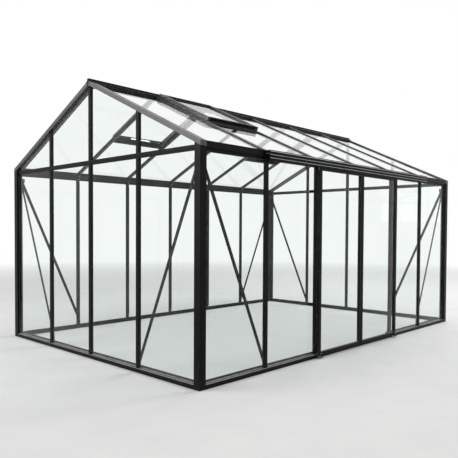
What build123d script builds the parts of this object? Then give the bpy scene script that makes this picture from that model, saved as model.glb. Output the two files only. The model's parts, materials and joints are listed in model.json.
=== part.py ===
from build123d import *
import math
import os

# A glass greenhouse: extruded bars with glass between them, a ridged roof and a pair of
# sliding doors hung outside the wall.
# It is drawn with the door side's outer face at y = 0, the front gable's at x = 0 and
# the ground at z = 0, and moved to the centre of its footprint when it is written.
# A wall is drawn in its own frame: u along it, n inwards from its outer face, z up.
# A roof slope is drawn in its own frame: x along the ridge, s down the slope from the
# ridge line and r outwards from the roof's outer surface.

# Bays
BAY = 740.0
GABLE_BAYS = 4
SIDE_BAYS = 6
DOOR_FIRST_BAY = 2
DOOR_BAYS = 2

# Heights of the outline
EAVES_HEIGHT = 1895.0
RIDGE_HEIGHT = 2610.0

# Corner posts and base
POST = 66.0
POST_WALL = 3.0
POST_CENTRE = 56.0
SILL_HEIGHT = 16.0
SILL_WALL = 3.0
RAIL_WEB = 4.0
RAIL_LIP = 18.0
RAIL_UPSTAND = 36.0
RAIL_UPSTAND_WIDTH = 5.0
THRESHOLD_HEIGHT = 22.0

# Glass and the grooves that hold it
GLASS = 4.0
GROOVE = 12.0
EDGE_PLAY = 2.0
GLASS_DEPTH = 24.0

# Mullions and roof bars share one section
CAP_WIDTH = 42.0
CAP_THICKNESS = 10.0
WEB = 10.0
BAR_DEPTH = 34.0
REAR_WIDTH = 24.0
REAR_WEB = 12.0
REAR_FLANGE = 5.0

# Rails across the gables at eaves height
TIE_BELOW_RAFTER = 18.0
TIE_HEIGHT = 40.0
TIE_DEPTH = 32.0
TIE_STEP = 4.0
TIE_FACE = 26.0

# Eaves beam with its gutter
BEAM_RAIL_HEIGHT = 26.0
BEAM_HEIGHT = 78.0
BEAM_WALL = 5.0
GUTTER_WALL = 4.0
GUTTER_WIDTH = 16.0
GUTTER_DEPTH = 28.0
GLASS_OVERHANG = 14.0

# Roof
ROOF_GLASS_DEPTH = 14.0
RAFTER_DEPTH = 38.0
RAFTER_FLANGE = 18.0
RIDGE_WIDTH = 40.0
RIDGE_DROP = 60.0
RIDGE_CAP_WIDTH = 88.0
RIDGE_CAP_THICKNESS = 5.0
RIDGE_CREST_WIDTH = 32.0
RIDGE_CREST_HEIGHT = 18.0
RIDGE_WALL = 5.0

# Roof vents
VENT_BAYS_DOOR_SIDE = (1,)
VENT_BAYS_BACK_SIDE = (1, 4)
VENT_END = 848.0
VENT_FRAME_WIDTH = 36.0
VENT_FRAME_HEIGHT = 42.0
VENT_LAP = 14.0
VENT_GLASS_HEIGHT = 20.0
VENT_JOINT = 1.0
CROSSBAR_WIDTH = 40.0
CROSSBAR_REAR = 24.0
STAY_LENGTH = 280.0
STAY_WIDTH = 16.0
STAY_THICKNESS = 4.0

# Wind braces
BRACE_WIDTH = 32.0
BRACE_THICKNESS = 4.0
BRACE_HEAD_DROP = 100.0
BRACE_FOOT = 80.0

# Door track
TRACK_END_PAST_MULLION = 40.0
TRACK_RAIL_BELOW_BEAM = 6.0
TRACK_RAIL_HEIGHT = 50.0
TRACK_PLATE = 3.0
TRACK_SHELF = 4.0
TRACK_LIP = 4.0
TRACK_LIP_HEIGHT = 14.0
TRACK_LIP_OUT = 26.0
COVER_LAP = 11.0
COVER_SKIN = 3.0
COVER_INSIDE = 44.0
COVER_TOP_THICKNESS = 5.0
COVER_END = 4.0
BEAD_DEPTH = 5.0
BEAD_HEIGHT = 12.0
BEAD_COUNT = 3
TRAVEL_SHORT_OF_BAY = 10.0
STOP_LENGTH = 12.0
STOP_HEIGHT = 22.0
STOP_PLAY = 6.0

# Door leaves
LEAF_GAP = 8.0
LEAF_THICKNESS = 30.0
LEAF_BOTTOM = 30.0
LEAF_HEAD_GAP = 16.0
LEAF_LAP = 28.0
MEETING_GAP = 6.0
OUTER_STILE = 40.0
MEETING_STILE = 34.0
LEAF_RAIL = 34.0
LEAF_EDGE = 2.0
HANGER_WIDTH = 40.0
HANGER_THICKNESS = 4.0
HANGER_FOOT = 20.0
HANGER_CORNER = 10.0
HANGER_INSET = 70.0
HANGER_MARGIN = 12.0
ROLLER_RADIUS = 17.0
ROLLER_GROOVE_RADIUS = 14.0
ROLLER_WIDTH = 14.0
ROLLER_GROOVE = 6.0
ROLLER_RUNNING_GAP = 0.3
AXLE_RADIUS = 4.0
AXLE_PLAY = 0.2

# Guides under the leaves
GUIDE_WIDTH = 40.0
GUIDE_PLATE = 6.0
GUIDE_PLATE_BOTTOM = 14.0
GUIDE_ROLLER_RADIUS = 7.0
GUIDE_ROLLER_GAP = 4.0
GUIDE_ROLLER_TOP = 50.0
GUIDE_MARGIN = 2.0

# How far a cutting shape runs on past what it cuts
CUT_PAST = 100.0

# Sizes that follow from those above
WIDTH = GABLE_BAYS * BAY + 2 * POST_CENTRE
LENGTH = SIDE_BAYS * BAY + 2 * POST_CENTRE
HALF_WIDTH = WIDTH / 2
SLOPE = math.atan2(RIDGE_HEIGHT - EAVES_HEIGHT, HALF_WIDTH)
TAN = math.tan(SLOPE)
COS = math.cos(SLOPE)
SIN = math.sin(SLOPE)
SLOPE_LENGTH = HALF_WIDTH / COS
BAR_FRONT = GLASS_DEPTH - CAP_THICKNESS
BAR_REAR = BAR_FRONT + BAR_DEPTH
PANE_INSET = WEB / 2 + EDGE_PLAY + 1.0
LEDGE_HEIGHT = SILL_HEIGHT + RAIL_LIP
RAIL_TOP = SILL_HEIGHT + RAIL_UPSTAND
GLASS_SLOT_FLOOR = SILL_HEIGHT + RAIL_WEB
TIE_TOP = EAVES_HEIGHT + POST * TAN - RAFTER_DEPTH / COS - TIE_BELOW_RAFTER
TIE_BOTTOM = TIE_TOP - TIE_HEIGHT
BRACE_TOP = EAVES_HEIGHT - BRACE_HEAD_DROP
BEAM_BOTTOM = EAVES_HEIGHT - BEAM_HEIGHT
BEAM_UNDERSIDE = BEAM_BOTTOM + BEAM_RAIL_HEIGHT
TRACK_RAIL_BOTTOM = BEAM_UNDERSIDE - TRACK_RAIL_BELOW_BEAM
LEAF_TOP = TRACK_RAIL_BOTTOM - LEAF_HEAD_GAP
COVER_BOTTOM = LEAF_TOP - COVER_LAP
ROOF_SEAT = ROOF_GLASS_DEPTH + GLASS
SLOT_BACK = POST - GROOVE
GUIDE_REACH = LEAF_GAP + LEAF_THICKNESS + GUIDE_ROLLER_GAP + 2 * GUIDE_ROLLER_RADIUS + GUIDE_MARGIN
LEAF_BACK = -LEAF_GAP
LEAF_FRONT = -LEAF_GAP - LEAF_THICKNESS
DOOR_TRAVEL = BAY - TRAVEL_SHORT_OF_BAY
CENTRE_X = LENGTH / 2
CENTRE_Y = (WIDTH - GUIDE_REACH) / 2


def side_mark(k):
    """Distance along a wall to the centre of mullion k, counted from a corner."""
    return POST_CENTRE + k * BAY


def section(points, *holes):
    """A flat section from its outline and the outlines of its hollow chambers."""
    face = make_face(Polyline(*points, close=True))
    for hole in holes:
        face -= make_face(Polyline(*hole, close=True))
    return face


def box(x0, x1, y0, y1, z0, z1):
    return Pos((x0 + x1) / 2, (y0 + y1) / 2, (z0 + z1) / 2) * Box(x1 - x0, y1 - y0, z1 - z0)


def upright(face, z0, z1):
    """A section in u and n pulled up from z0 to z1."""
    return Pos(0, 0, z0) * extrude(face, amount=z1 - z0)


def along(face, u0, u1):
    """A section in n and z pulled along the wall from u0 to u1."""
    return extrude(Plane.YZ.offset(u0) * face, amount=u1 - u0)


def sheet(points, n0, n1):
    """An outline in u and z pulled inwards from n0 to n1."""
    face = Plane.XZ.offset(-n0) * section(points)
    return extrude(face, amount=n0 - n1)


def down_slope(face, s0, s1):
    """A section in x and r pulled down the slope from s0 to s1."""
    return extrude(Plane.XZ.offset(s0) * face, amount=s1 - s0)


def across_slope(points, x0, x1):
    """A section in s and r pulled along the ridge from x0 to x1."""
    face = section([(-s, r) for s, r in points])
    return extrude(Plane.YZ.offset(x0) * face, amount=x1 - x0)


# Where each wall and slope stands
DOOR_SIDE = Location((0, 0, 0))
BACK_SIDE = Location((LENGTH, WIDTH, 0), (0, 0, 180))
FRONT_GABLE = Location((0, WIDTH, 0), (0, 0, -90))
REAR_GABLE = Location((LENGTH, 0, 0), (0, 0, 90))
DOOR_SLOPE = Location((0, HALF_WIDTH, RIDGE_HEIGHT), (math.degrees(SLOPE), 0, 0))


def over_ridge(shape):
    """The same piece on the other slope."""
    return mirror(shape, about=Plane.XZ.offset(-HALF_WIDTH))


def at_other_end(shape):
    """The same piece at the other gable."""
    return mirror(shape, about=Plane.YZ.offset(CENTRE_X))


def roof_height(y, depth=0.0):
    """Height of the plane that lies depth below the door slope's surface."""
    return EAVES_HEIGHT + y * TAN - depth / COS


# Sections

def bar_section(front):
    """Mullion or roof bar: outer cap, groove for the glass on each side, flanged rear web."""
    cap = CAP_WIDTH / 2
    web = WEB / 2
    rear = REAR_WIDTH / 2
    stem = REAR_WEB / 2
    glass = front + CAP_THICKNESS
    back = front + BAR_DEPTH
    half = [
        (cap - 2, front),
        (cap, front + 2),
        (cap, glass),
        (web, glass),
        (web, glass + GLASS),
        (rear, glass + GLASS),
        (rear, glass + GLASS + REAR_FLANGE),
        (stem, glass + GLASS + REAR_FLANGE),
        (stem, back - REAR_FLANGE),
        (rear, back - REAR_FLANGE),
        (rear, back),
    ]
    return half + [(-u, n) for u, n in reversed(half)]


def post_section():
    """Square tube at the front gable and door side corner, with two glass grooves."""
    far = GLASS_DEPTH + GLASS
    outline = [
        (2, 0),
        (POST, 0),
        (POST, GLASS_DEPTH),
        (SLOT_BACK, GLASS_DEPTH),
        (SLOT_BACK, far),
        (POST, far),
        (POST, POST),
        (far, POST),
        (far, SLOT_BACK),
        (GLASS_DEPTH, SLOT_BACK),
        (GLASS_DEPTH, POST),
        (0, POST),
        (0, 2),
    ]
    inner = SLOT_BACK - POST_WALL
    chamber = [(POST_WALL, POST_WALL), (inner, POST_WALL), (inner, inner), (POST_WALL, inner)]
    return section(outline, chamber)


def sill_section():
    """Box sill in n and z."""
    w = SILL_WALL
    outline = [(0, 0), (POST, 0), (POST, SILL_HEIGHT), (0, SILL_HEIGHT)]
    chamber = [(w, w), (POST - w, w), (POST - w, SILL_HEIGHT - w), (w, SILL_HEIGHT - w)]
    return section(outline, chamber)


def glazing_rail_section():
    """Rail on the sill: outer lip, groove for the glass, drip channel and inner upstand."""
    far = GLASS_DEPTH + GLASS
    inner = POST - RAIL_UPSTAND_WIDTH
    return section([
        (0, SILL_HEIGHT),
        (POST, SILL_HEIGHT),
        (POST, RAIL_TOP - 1.5),
        (POST - 1.5, RAIL_TOP),
        (inner, RAIL_TOP),
        (inner, LEDGE_HEIGHT),
        (far, LEDGE_HEIGHT),
        (far, GLASS_SLOT_FLOOR),
        (GLASS_DEPTH, GLASS_SLOT_FLOOR),
        (GLASS_DEPTH, LEDGE_HEIGHT),
        (3, LEDGE_HEIGHT),
        (0, LEDGE_HEIGHT - 3),
    ])


def tie_section():
    """Rail across the gable at eaves height, grooved above and below."""
    far = GLASS_DEPTH + GLASS
    top = TIE_TOP
    back = BAR_FRONT + TIE_DEPTH
    step = top - TIE_FACE
    return section([
        (BAR_FRONT + TIE_STEP, TIE_BOTTOM),
        (GLASS_DEPTH, TIE_BOTTOM),
        (GLASS_DEPTH, TIE_BOTTOM + GROOVE),
        (far, TIE_BOTTOM + GROOVE),
        (far, TIE_BOTTOM),
        (back, TIE_BOTTOM),
        (back, top),
        (far, top),
        (far, top - GROOVE),
        (GLASS_DEPTH, top - GROOVE),
        (GLASS_DEPTH, top),
        (BAR_FRONT, top),
        (BAR_FRONT, step),
        (BAR_FRONT + TIE_STEP, step - TIE_STEP),
    ])


def beam_section():
    """Eaves beam: grooved rail below, hollow body, gutter outside, sloped seat for the roof."""
    far = GLASS_DEPTH + GLASS
    gutter_floor = EAVES_HEIGHT - GUTTER_DEPTH
    seat_start = GUTTER_WALL + GUTTER_WIDTH
    outline = [
        (0, BEAM_UNDERSIDE),
        (BAR_FRONT, BEAM_UNDERSIDE),
        (BAR_FRONT, BEAM_BOTTOM),
        (GLASS_DEPTH, BEAM_BOTTOM),
        (GLASS_DEPTH, BEAM_BOTTOM + GROOVE),
        (far, BEAM_BOTTOM + GROOVE),
        (far, BEAM_BOTTOM),
        (BAR_REAR, BEAM_BOTTOM),
        (BAR_REAR, BEAM_UNDERSIDE),
        (POST, BEAM_UNDERSIDE),
        (POST, roof_height(POST, ROOF_SEAT)),
        (seat_start, roof_height(seat_start, ROOF_SEAT)),
        (seat_start, gutter_floor),
        (GUTTER_WALL, gutter_floor),
        (GUTTER_WALL, EAVES_HEIGHT),
        (0, EAVES_HEIGHT),
    ]
    w = BEAM_WALL
    chamber = [
        (w, BEAM_UNDERSIDE + w),
        (POST - w, BEAM_UNDERSIDE + w),
        (POST - w, roof_height(POST - w, ROOF_SEAT + w)),
        (seat_start + w, roof_height(seat_start + w, ROOF_SEAT + w)),
        (seat_start + w, gutter_floor - w),
        (w, gutter_floor - w),
    ]
    return section(outline, chamber)


def rafter_section():
    """Gable rafter in x and r: groove below for the gable glass, groove inside for the roof."""
    far = GLASS_DEPTH + GLASS
    return section([
        (0, -RAFTER_DEPTH),
        (GLASS_DEPTH, -RAFTER_DEPTH),
        (GLASS_DEPTH, -RAFTER_DEPTH + GROOVE),
        (far, -RAFTER_DEPTH + GROOVE),
        (far, -RAFTER_DEPTH),
        (POST + RAFTER_FLANGE, -RAFTER_DEPTH),
        (POST + RAFTER_FLANGE, -ROOF_SEAT),
        (POST - GROOVE, -ROOF_SEAT),
        (POST - GROOVE, -ROOF_GLASS_DEPTH),
        (POST, -ROOF_GLASS_DEPTH),
        (POST, 0),
        (0, 0),
    ])


def ridge_section():
    """Ridge beam in y and z about the middle of the roof: hollow stem under a sloped cap."""
    stem = RIDGE_WIDTH / 2
    cap = RIDGE_CAP_WIDTH / 2
    crest = RIDGE_CREST_WIDTH / 2
    over = RIDGE_CAP_THICKNESS / COS
    foot = RIDGE_HEIGHT - RIDGE_DROP
    top = RIDGE_HEIGHT + RIDGE_CREST_HEIGHT
    half = [
        (stem, foot),
        (stem, RIDGE_HEIGHT - stem * TAN),
        (cap, RIDGE_HEIGHT - cap * TAN),
        (cap, RIDGE_HEIGHT - cap * TAN + over),
        (crest, RIDGE_HEIGHT - crest * TAN + over),
        (crest, top - 3),
        (crest - 3, top),
    ]
    outline = half + [(-y, z) for y, z in reversed(half)]
    w = RIDGE_WALL
    chamber = [
        (w - stem, foot + w),
        (stem - w, foot + w),
        (stem - w, RIDGE_HEIGHT - stem * TAN),
        (w - stem, RIDGE_HEIGHT - stem * TAN),
    ]
    return section(outline, chamber)


# Base and walls

def corner_posts():
    """Four posts whose tops follow the rafters' undersides."""
    post = upright(post_section(), 0, EAVES_HEIGHT)
    near, far = -CUT_PAST, POST + CUT_PAST
    cut = sheet_across_x([
        (near, roof_height(near, RAFTER_DEPTH)),
        (far, roof_height(far, RAFTER_DEPTH)),
        (far, RIDGE_HEIGHT),
        (near, RIDGE_HEIGHT),
    ], near, far)
    post -= cut
    front = [post, over_ridge(post)]
    return front + [at_other_end(p) for p in front]


def sheet_across_x(points, x0, x1):
    """An outline in y and z pulled along x."""
    return extrude(Plane.YZ.offset(x0) * section(points), amount=x1 - x0)


def door_opening():
    """Where the doorway starts and ends along the door side, between the jamb mullions."""
    start = side_mark(DOOR_FIRST_BAY) + CAP_WIDTH / 2
    end = side_mark(DOOR_FIRST_BAY + DOOR_BAYS) - CAP_WIDTH / 2
    return start, end


def along_base(face):
    """A base section along all four walls, left out across the doorway."""
    start, end = door_opening()
    return [
        DOOR_SIDE * along(face, POST, start),
        DOOR_SIDE * along(face, end, LENGTH - POST),
        BACK_SIDE * along(face, POST, LENGTH - POST),
        FRONT_GABLE * along(face, POST, WIDTH - POST),
        REAR_GABLE * along(face, POST, WIDTH - POST),
    ]


def base_sills():
    return along_base(sill_section())


def bottom_glazing_rails():
    return along_base(glazing_rail_section())


def doorway_threshold():
    start, end = door_opening()
    face = section([
        (0, 0),
        (POST, 0),
        (POST, THRESHOLD_HEIGHT - 6),
        (POST - 14, THRESHOLD_HEIGHT),
        (14, THRESHOLD_HEIGHT),
        (0, THRESHOLD_HEIGHT - 6),
    ])
    return [along(face, start, end)]


def bay_spans(bays):
    """Clear lengths between bar caps, bay by bay, with the posts at both ends."""
    spans = []
    for k in range(bays):
        start = POST if k == 0 else side_mark(k) + CAP_WIDTH / 2
        end = side_mark(k + 1) - CAP_WIDTH / 2
        if k == bays - 1:
            end = side_mark(bays) + POST_CENTRE - POST
        spans.append((start, end))
    return spans


def pane_spans(bays, skip=()):
    """Lengths of the panes, which reach into the grooves on both sides."""
    spans = []
    for k in range(bays):
        if k in skip:
            continue
        start = SLOT_BACK + EDGE_PLAY + 1 if k == 0 else side_mark(k) + PANE_INSET
        end = side_mark(k + 1) - PANE_INSET
        if k == bays - 1:
            end = side_mark(bays) + POST_CENTRE - SLOT_BACK - EDGE_PLAY - 1
        spans.append((start, end))
    return spans


DOOR_BAY_NUMBERS = tuple(range(DOOR_FIRST_BAY, DOOR_FIRST_BAY + DOOR_BAYS))


def side_mullions(wall, skip=()):
    face = section(bar_section(BAR_FRONT))
    marks = [side_mark(k) for k in range(1, SIDE_BAYS) if k not in skip]
    return [wall * Pos(u, 0, 0) * upright(face, LEDGE_HEIGHT, BEAM_BOTTOM) for u in marks]


def gable_outline(depth):
    """The gable's shape under a line that lies depth below the roof's surface."""
    return [
        (0, 0),
        (WIDTH, 0),
        (WIDTH, roof_height(0, depth)),
        (HALF_WIDTH, roof_height(HALF_WIDTH, depth)),
        (0, roof_height(0, depth)),
    ]


def gable_mullions(wall):
    """Mullions that run up to the rafters, the middle one to the ridge beam."""
    face = section(bar_section(BAR_FRONT))
    under_rafters = sheet(gable_outline(RAFTER_DEPTH), 0, POST)
    under_ridge = box(0, WIDTH, 0, POST, 0, RIDGE_HEIGHT - RIDGE_DROP)
    bars = []
    for k in range(1, GABLE_BAYS):
        bar = Pos(side_mark(k), 0, 0) * upright(face, LEDGE_HEIGHT, RIDGE_HEIGHT)
        bars.append(wall * (bar & under_rafters & under_ridge))
    return bars


def gable_tie_rails(wall):
    face = tie_section()
    return [wall * along(face, u0, u1) for u0, u1 in bay_spans(GABLE_BAYS)]


def eaves_beam(side):
    beam = along(beam_section(), POST, LENGTH - POST)
    return [beam if side == "door" else over_ridge(beam)]


def lower_panes(wall, bays, top, skip=()):
    """Panes that stand in the glazing rail and reach up into the groove above."""
    foot = GLASS_SLOT_FLOOR + EDGE_PLAY
    head = top + GROOVE - EDGE_PLAY
    n0 = GLASS_DEPTH
    return [wall * box(u0, u1, n0, n0 + GLASS, foot, head) for u0, u1 in pane_spans(bays, skip)]


def gable_top_panes(wall):
    """Panes above the tie rail, cut to the rafters and clear of the ridge beam."""
    foot = TIE_TOP - GROOVE
    reach = RAFTER_DEPTH - GROOVE + EDGE_PLAY
    shape = sheet(gable_outline(reach), GLASS_DEPTH, GLASS_DEPTH + GLASS)
    stem = RIDGE_WIDTH / 2 + EDGE_PLAY
    ridge_foot = RIDGE_HEIGHT - RIDGE_DROP - EDGE_PLAY
    shape -= box(HALF_WIDTH - stem, HALF_WIDTH + stem, 0, POST, ridge_foot, RIDGE_HEIGHT)
    panes = []
    for u0, u1 in pane_spans(GABLE_BAYS):
        panes.append(wall * (shape & box(u0, u1, 0, POST, foot, RIDGE_HEIGHT)))
    return panes


def wind_braces():
    """Flat bars inside the glass, from each post's head to the foot of the next mullion."""
    far = side_mark(1) + REAR_WIDTH / 2
    drop = BRACE_WIDTH * math.hypot(far - POST, BRACE_TOP - BRACE_FOOT) / (far - POST)
    braces = []
    for wall, bays in (
        (DOOR_SIDE, SIDE_BAYS),
        (BACK_SIDE, SIDE_BAYS),
        (FRONT_GABLE, GABLE_BAYS),
        (REAR_GABLE, GABLE_BAYS),
    ):
        total = bays * BAY + 2 * POST_CENTRE
        outline = [
            (POST, BRACE_TOP),
            (POST, BRACE_TOP - drop),
            (far, BRACE_FOOT - drop / 2),
            (far, BRACE_FOOT + drop / 2),
        ]
        other = [(total - u, z) for u, z in outline]
        for points in (outline, other):
            braces.append(wall * sheet(points, BAR_REAR, BAR_REAR + BRACE_THICKNESS))
    return braces


# Roof

def clear_of_ridge():
    """Room for pieces on the door slope between the door side's face and the ridge beam."""
    y1 = HALF_WIDTH - RIDGE_WIDTH / 2
    return box(-CUT_PAST, LENGTH + CUT_PAST, 0, y1, 0, RIDGE_HEIGHT + CUT_PAST)


def gable_rafters():
    """The pair of rafters over the front gable."""
    rafter = DOOR_SLOPE * down_slope(rafter_section(), 0, SLOPE_LENGTH + CUT_PAST)
    rafter &= clear_of_ridge()
    rafter -= box(POST, POST + 2 * RAFTER_FLANGE, -CUT_PAST, POST, 0, RIDGE_HEIGHT)
    return [rafter, over_ridge(rafter)]


def roof_bars():
    """The door slope's bars: caps run out over the gutter, webs stop at the eaves beam."""
    front = ROOF_GLASS_DEPTH - CAP_THICKNESS
    face = section([(x, -n) for x, n in bar_section(front)])
    y1 = HALF_WIDTH - RIDGE_WIDTH / 2
    over_gutter = box(-CUT_PAST, LENGTH + CUT_PAST, GLASS_OVERHANG, y1, 0, RIDGE_HEIGHT + CUT_PAST)
    beam_zone = sheet_across_x([
        (-CUT_PAST, 0),
        (POST, 0),
        (POST, roof_height(POST, ROOF_SEAT)),
        (-CUT_PAST, roof_height(-CUT_PAST, ROOF_SEAT)),
    ], -CUT_PAST, LENGTH + CUT_PAST)
    bars = []
    for k in range(1, SIDE_BAYS):
        bar = DOOR_SLOPE * Pos(side_mark(k), 0, 0) * down_slope(face, 0, SLOPE_LENGTH + CUT_PAST)
        bars.append((bar & over_gutter) - beam_zone)
    return bars


def ridge_beam():
    return [Pos(0, HALF_WIDTH, 0) * along(ridge_section(), 0, LENGTH)]


CROSSBAR_TOP = VENT_END + EDGE_PLAY
PANE_UNDER_VENT = CROSSBAR_TOP + CROSSBAR_WIDTH - CROSSBAR_REAR + EDGE_PLAY


def roof_panes(vent_bays):
    """The door slope's panes; a pane below a vent starts in the vent's crossbar."""
    top = (RIDGE_WIDTH / 2 + ROOF_SEAT * SIN) / COS + EDGE_PLAY
    foot = (HALF_WIDTH - GLASS_OVERHANG) / COS - ROOF_SEAT * TAN
    panes = []
    for k, (x0, x1) in enumerate(pane_spans(SIDE_BAYS)):
        start = PANE_UNDER_VENT if k in vent_bays else top
        pane = box(x0, x1, -foot, -start, -ROOF_SEAT, -ROOF_GLASS_DEPTH)
        panes.append(DOOR_SLOPE * pane)
    return panes


def vent_reach():
    """How far down the slope a vent's frame starts, just below the ridge cap."""
    return RIDGE_CAP_WIDTH / 2 / COS + VENT_JOINT


def vent_sides(k):
    """Outer faces of a vent's frame, which laps onto the bar caps on both sides."""
    lap = CAP_WIDTH / 2 - VENT_LAP
    return side_mark(k) + lap, side_mark(k + 1) - lap


VENT_FLOOR = -(ROOF_GLASS_DEPTH - CAP_THICKNESS)
VENT_TOP = VENT_FLOOR + VENT_FRAME_HEIGHT
VENT_GLASS = VENT_FLOOR + VENT_GLASS_HEIGHT


def vent_bar_section():
    """Frame bar of a vent, grooved on its inner side, its outer top edge eased."""
    w = VENT_FRAME_WIDTH
    return [
        (0, VENT_FLOOR),
        (w, VENT_FLOOR),
        (w, VENT_GLASS),
        (w - GROOVE, VENT_GLASS),
        (w - GROOVE, VENT_GLASS + GLASS),
        (w, VENT_GLASS + GLASS),
        (w, VENT_TOP - 6),
        (w - 6, VENT_TOP),
        (3, VENT_TOP),
        (0, VENT_TOP - 3),
    ]


def vent_stiles(k):
    x0, x1 = vent_sides(k)
    left = down_slope(section([(x0 + x, r) for x, r in vent_bar_section()]), vent_reach(), VENT_END)
    right = down_slope(section([(x1 - x, r) for x, r in vent_bar_section()]), vent_reach(), VENT_END)
    return [DOOR_SLOPE * left, DOOR_SLOPE * right]


def vent_rails(k):
    x0, x1 = vent_sides(k)
    x0 += VENT_FRAME_WIDTH
    x1 -= VENT_FRAME_WIDTH
    head = across_slope([(vent_reach() + s, r) for s, r in vent_bar_section()], x0, x1)
    foot = across_slope([(VENT_END - s, r) for s, r in vent_bar_section()], x0, x1)
    return [DOOR_SLOPE * head, DOOR_SLOPE * foot]


def vent_glass(k):
    x0, x1 = vent_sides(k)
    edge = VENT_FRAME_WIDTH - GROOVE + EDGE_PLAY
    foot = VENT_END - edge
    head = vent_reach() + edge
    pane = box(x0 + edge, x1 - edge, -foot, -head, VENT_GLASS, VENT_GLASS + GLASS)
    return [DOOR_SLOPE * pane]


def vent_crossbar(k):
    """Fixed bar under a vent's foot that also holds the head of the pane below."""
    top = CROSSBAR_TOP
    lip = top + CROSSBAR_WIDTH
    web = lip - CROSSBAR_REAR
    rear = top + CROSSBAR_REAR
    outline = [
        (top, VENT_FLOOR),
        (top, -RAFTER_DEPTH + 2),
        (rear, -RAFTER_DEPTH + 2),
        (rear, -ROOF_SEAT),
        (web, -ROOF_SEAT),
        (web, -ROOF_GLASS_DEPTH),
        (lip, -ROOF_GLASS_DEPTH),
        (lip, VENT_FLOOR),
    ]
    x0 = side_mark(k) + CAP_WIDTH / 2
    x1 = side_mark(k + 1) - CAP_WIDTH / 2
    return [DOOR_SLOPE * across_slope(outline, x0, x1)]


def vent_stay(k):
    """Flat stay folded along the foot rail of a vent, on its inner side."""
    middle = (side_mark(k) + side_mark(k + 1)) / 2
    s1 = VENT_END - VENT_FRAME_WIDTH
    r0 = VENT_FLOOR + 1
    stay = box(
        middle - STAY_LENGTH / 2,
        middle + STAY_LENGTH / 2,
        -s1,
        -s1 + STAY_THICKNESS,
        r0,
        r0 + STAY_WIDTH,
    )
    return [DOOR_SLOPE * stay]


def on_all_vents(make):
    """A vent's pieces on every vented bay of both slopes."""
    pieces = []
    for k in VENT_BAYS_DOOR_SIDE:
        pieces += make(k)
    for k in VENT_BAYS_BACK_SIDE:
        pieces += [over_ridge(p) for p in make(k)]
    return pieces


# Door track

def track_ends():
    start = side_mark(DOOR_FIRST_BAY - 1) - TRACK_END_PAST_MULLION
    end = side_mark(DOOR_FIRST_BAY + DOOR_BAYS + 1) + TRACK_END_PAST_MULLION
    return start, end


def door_track_rail():
    """Angle on the eaves beam with an upturned lip that the rollers run on."""
    start, end = track_ends()
    bottom = TRACK_RAIL_BOTTOM
    out = -TRACK_LIP_OUT
    face = section([
        (0, BEAM_UNDERSIDE),
        (0, bottom + TRACK_RAIL_HEIGHT),
        (-TRACK_PLATE, bottom + TRACK_RAIL_HEIGHT),
        (-TRACK_PLATE, bottom + TRACK_SHELF),
        (out + TRACK_LIP, bottom + TRACK_SHELF),
        (out + TRACK_LIP, bottom + TRACK_LIP_HEIGHT),
        (out, bottom + TRACK_LIP_HEIGHT),
        (out, bottom),
        (-TRACK_PLATE, bottom),
    ])
    return [along(face, start + COVER_END, end - COVER_END)]


def door_track_cover():
    """Front of the track's cover, with three rounded beads along it."""
    start, end = track_ends()
    inside = -COVER_INSIDE
    skin = inside - COVER_SKIN
    top = EAVES_HEIGHT - COVER_TOP_THICKNESS
    face = section([(inside, COVER_BOTTOM), (inside, top), (skin, top), (skin, COVER_BOTTOM)])
    pitch = (EAVES_HEIGHT - COVER_BOTTOM) / BEAD_COUNT
    for k in range(BEAD_COUNT):
        high = top - 2 - k * pitch
        bead = section([
            (skin, high),
            (skin - BEAD_DEPTH, high - BEAD_DEPTH),
            (skin - BEAD_DEPTH, high - BEAD_HEIGHT),
            (skin, high - BEAD_HEIGHT),
        ])
        face += bead
    return [along(face, start, end)]


def door_track_top():
    start, end = track_ends()
    return [box(start, end, -COVER_INSIDE - COVER_SKIN, 0, EAVES_HEIGHT - COVER_TOP_THICKNESS, EAVES_HEIGHT)]


def door_track_ends():
    """End plates of the cover, and the stops on the rail that end the leaves' travel."""
    start, end = track_ends()
    top = EAVES_HEIGHT - COVER_TOP_THICKNESS
    left = box(start, start + COVER_END, -COVER_INSIDE, 0, BEAM_UNDERSIDE, top)
    reach = hanger_places()[0] - DOOR_TRAVEL - ROLLER_RADIUS - STOP_PLAY
    shelf = TRACK_RAIL_BOTTOM + TRACK_SHELF
    y0 = TRACK_LIP - TRACK_LIP_OUT
    stop = box(reach - STOP_LENGTH, reach, y0, -TRACK_PLATE, shelf, shelf + STOP_HEIGHT)
    return [left, stop, at_other_end(left), at_other_end(stop)]


# Door leaves, drawn for the left one and mirrored for the right

LEAF_LEFT = side_mark(DOOR_FIRST_BAY) - LEAF_LAP
LEAF_RIGHT = CENTRE_X - MEETING_GAP / 2
LEAF_GLASS_FRONT = LEAF_FRONT + (LEAF_THICKNESS - GLASS) / 2
ROLLER_MIDDLE = -TRACK_LIP_OUT + TRACK_LIP / 2
AXLE_HEIGHT = TRACK_RAIL_BOTTOM + TRACK_LIP_HEIGHT + ROLLER_RUNNING_GAP + ROLLER_GROOVE_RADIUS
HANGER_BACK = ROLLER_MIDDLE - ROLLER_WIDTH / 2 - 2


def stile_section(width):
    """Stile with its groove on the side away from zero."""
    e = LEAF_EDGE
    g0 = LEAF_GLASS_FRONT
    g1 = LEAF_GLASS_FRONT + GLASS
    return [
        (e, LEAF_FRONT),
        (width - e, LEAF_FRONT),
        (width, LEAF_FRONT + e),
        (width, g0),
        (width - GROOVE, g0),
        (width - GROOVE, g1),
        (width, g1),
        (width, LEAF_BACK - e),
        (width - e, LEAF_BACK),
        (e, LEAF_BACK),
        (0, LEAF_BACK - e),
        (0, LEAF_FRONT + e),
    ]


def leaf_stiles():
    outer = section([(LEAF_LEFT + x, y) for x, y in stile_section(OUTER_STILE)])
    meeting = section([(LEAF_RIGHT - x, y) for x, y in stile_section(MEETING_STILE)])
    return [upright(face, LEAF_BOTTOM, LEAF_TOP) for face in (outer, meeting)]


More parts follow.
